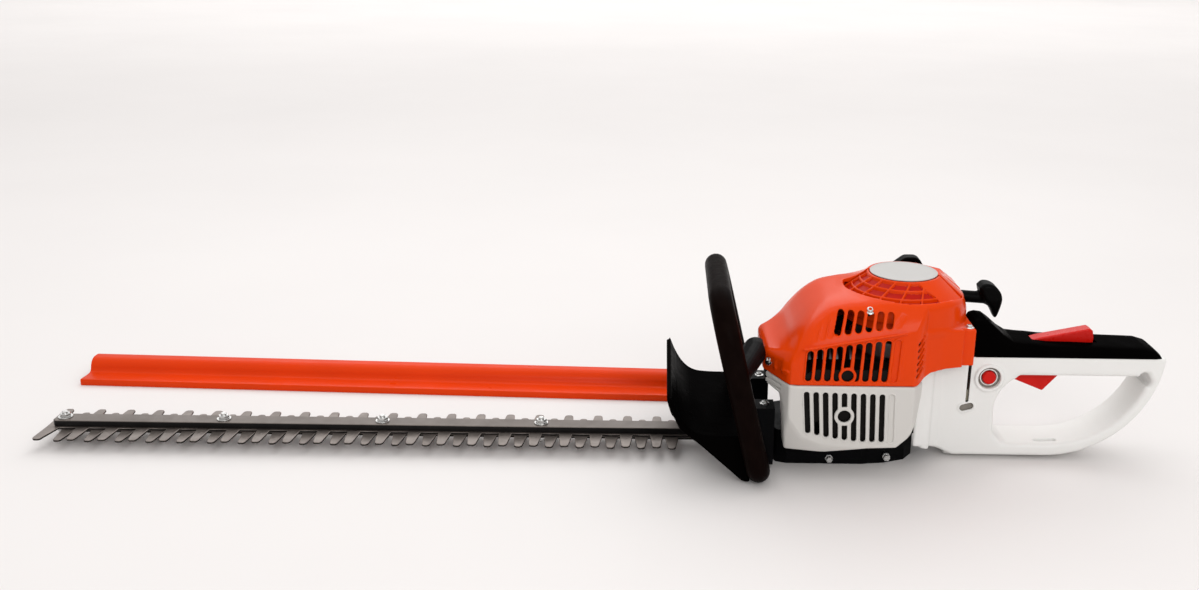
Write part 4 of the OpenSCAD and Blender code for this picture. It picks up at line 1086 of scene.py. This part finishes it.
def screw_head(place, facing, r, shank):
    """Flanged screw with a round head and a socket, its head standing on a place."""
    profile = [(0.3, -shank), (r * 0.45, -shank), (r * 0.45, 0), (r, 0), (r, 0.5), (r * 0.86, 0.9),
               (r * 0.66, 1), (r * 0.62, 2.2), (r * 0.5, 2.7), (r * 0.36, 2.75), (r * 0.34, 1.4), (0.2, 1.3)]
    return faced(lathe("screw_head", profile, (0, 0, 0), steps=36), place, facing)


def hex_head(place, facing, r):
    """Hexagonal head with a flange, standing on a place."""
    flange = r * 1.15
    profile = [(0.3, -3), (flange, -3), (flange, 0.8), (r, 1), (r, 4), (r * 0.85, 4.6), (0.3, 4.6)]
    return faced(lathe("hex_head", profile, (0, 0, 0), steps=6), place, facing)


def housing_screws():
    parts = [screw_head((-40, -57, 163.6), (0, -10, 14), 4.6, 6),
             screw_head((58, -36, 141), (0, 0, 1), 4.6, 6),
             screw_head((-128.6, -43.5, 108.5), (-30, -18, 26), 5, 5)]
    parts += [screw_head((-131, y, 62), (0, 0, 1), 4.6, 12) for y in (-37, 37)]
    parts += [hex_head((x, -38.5, z), (0, -1, 0), 3.4) for x, z in ((-66.6, 6), (-11.3, 8.5))]
    return piece(merged("housing_screw_heads", parts), "machine", "zinc", "housing_screws")


def badge():
    profile = [(0.5, 184), (31.4, 184), (32, 184.3), (32, 184.8), (31.3, 185.2), (26, 185.2), (0.2, 185.2)]
    made = lathe("fan_disc", profile, (0, 0, 0), steps=96)
    return piece(made, "machine", "badge_white", "starter_badge")


def stop_button():
    profile = [(0.5, -14), (6.3, -14), (6.5, -15), (6.5, -24), (6.1, -24.9), (5.2, -25.5), (0.3, -25.2)]
    made = lathe("stop_button_cap", profile, (BUTTON_X, 0, BUTTON_Z), "Y")
    return piece(made, "stop_button_body", "red_plastic", "stop_button")


LEVER_HALF = 7


def lever(name, body, node, outline, holes):
    """Moulded red lever: an upright outline with rounded edges and cut holes."""
    xs, zs = zip(*outline)
    s = Space((min(xs), -LEVER_HALF, min(zs)), (max(xs), LEVER_HALF, max(zs)), 0.5)
    solid = meet(soft_outline(outline, 1.6, s.x, s.z), slab(s.y, -LEVER_HALF, LEVER_HALF), 1.4)
    for place, hole_r, half_depth in holes:
        solid = cut(solid, np.maximum(np.hypot(s.x - place[0], s.z - place[1]) - hole_r,
                                      np.abs(s.y) - half_depth), 0.3)
    return piece(surface(name, s, solid), body, "red_plastic", node)


def levers():
    lever("throttle_lever", "trigger_body", "throttle_trigger",
          [(110, 97), (107, 91), (112, 79), (143, 66.5), (158, 84), (156, 89), (119, 97)],
          [(TRIGGER_PIVOT, PIN_R, 20), (TRIGGER_PIVOT, 9, 2.5)])
    lever("lockout_paddle", "lockout_body", "lockout_lever",
          [(121, 117), (121, 111), (186, 111), (187, 121), (185.5, 129), (182, 131), (134, 121)],
          [(LOCKOUT_PIVOT, PIN_R, 20)])


FINISHES = finishes()

make_camera()
make_world()
make_floor()
make_lights()

starter_cover()
engine_shroud()
muffler_cover()
rear_housing()
grip_cover()
hand_guard()
front_handle()
starter_grip()
blade("upper_blade_steel", "upper_blade_body", "upper_blade", 37, 0, 3.9, 3, 12.8, 15)
blade("lower_blade_steel", "lower_blade_body", "lower_blade", 34, 15, 3.6, 0, 10.2, 12.5)
guide_bar()
bar_bolts()
badge()
stop_button()
levers()
filter_cover()
scabbard()
housing_screws()

for part in frame["record"]["subparts"]:
    node = frame["nodes"].get(part["node"])
    if node and not node.hide_render:
        node.data.materials.clear()
        node.data.materials.append(FINISHES[part["material_slot"]])
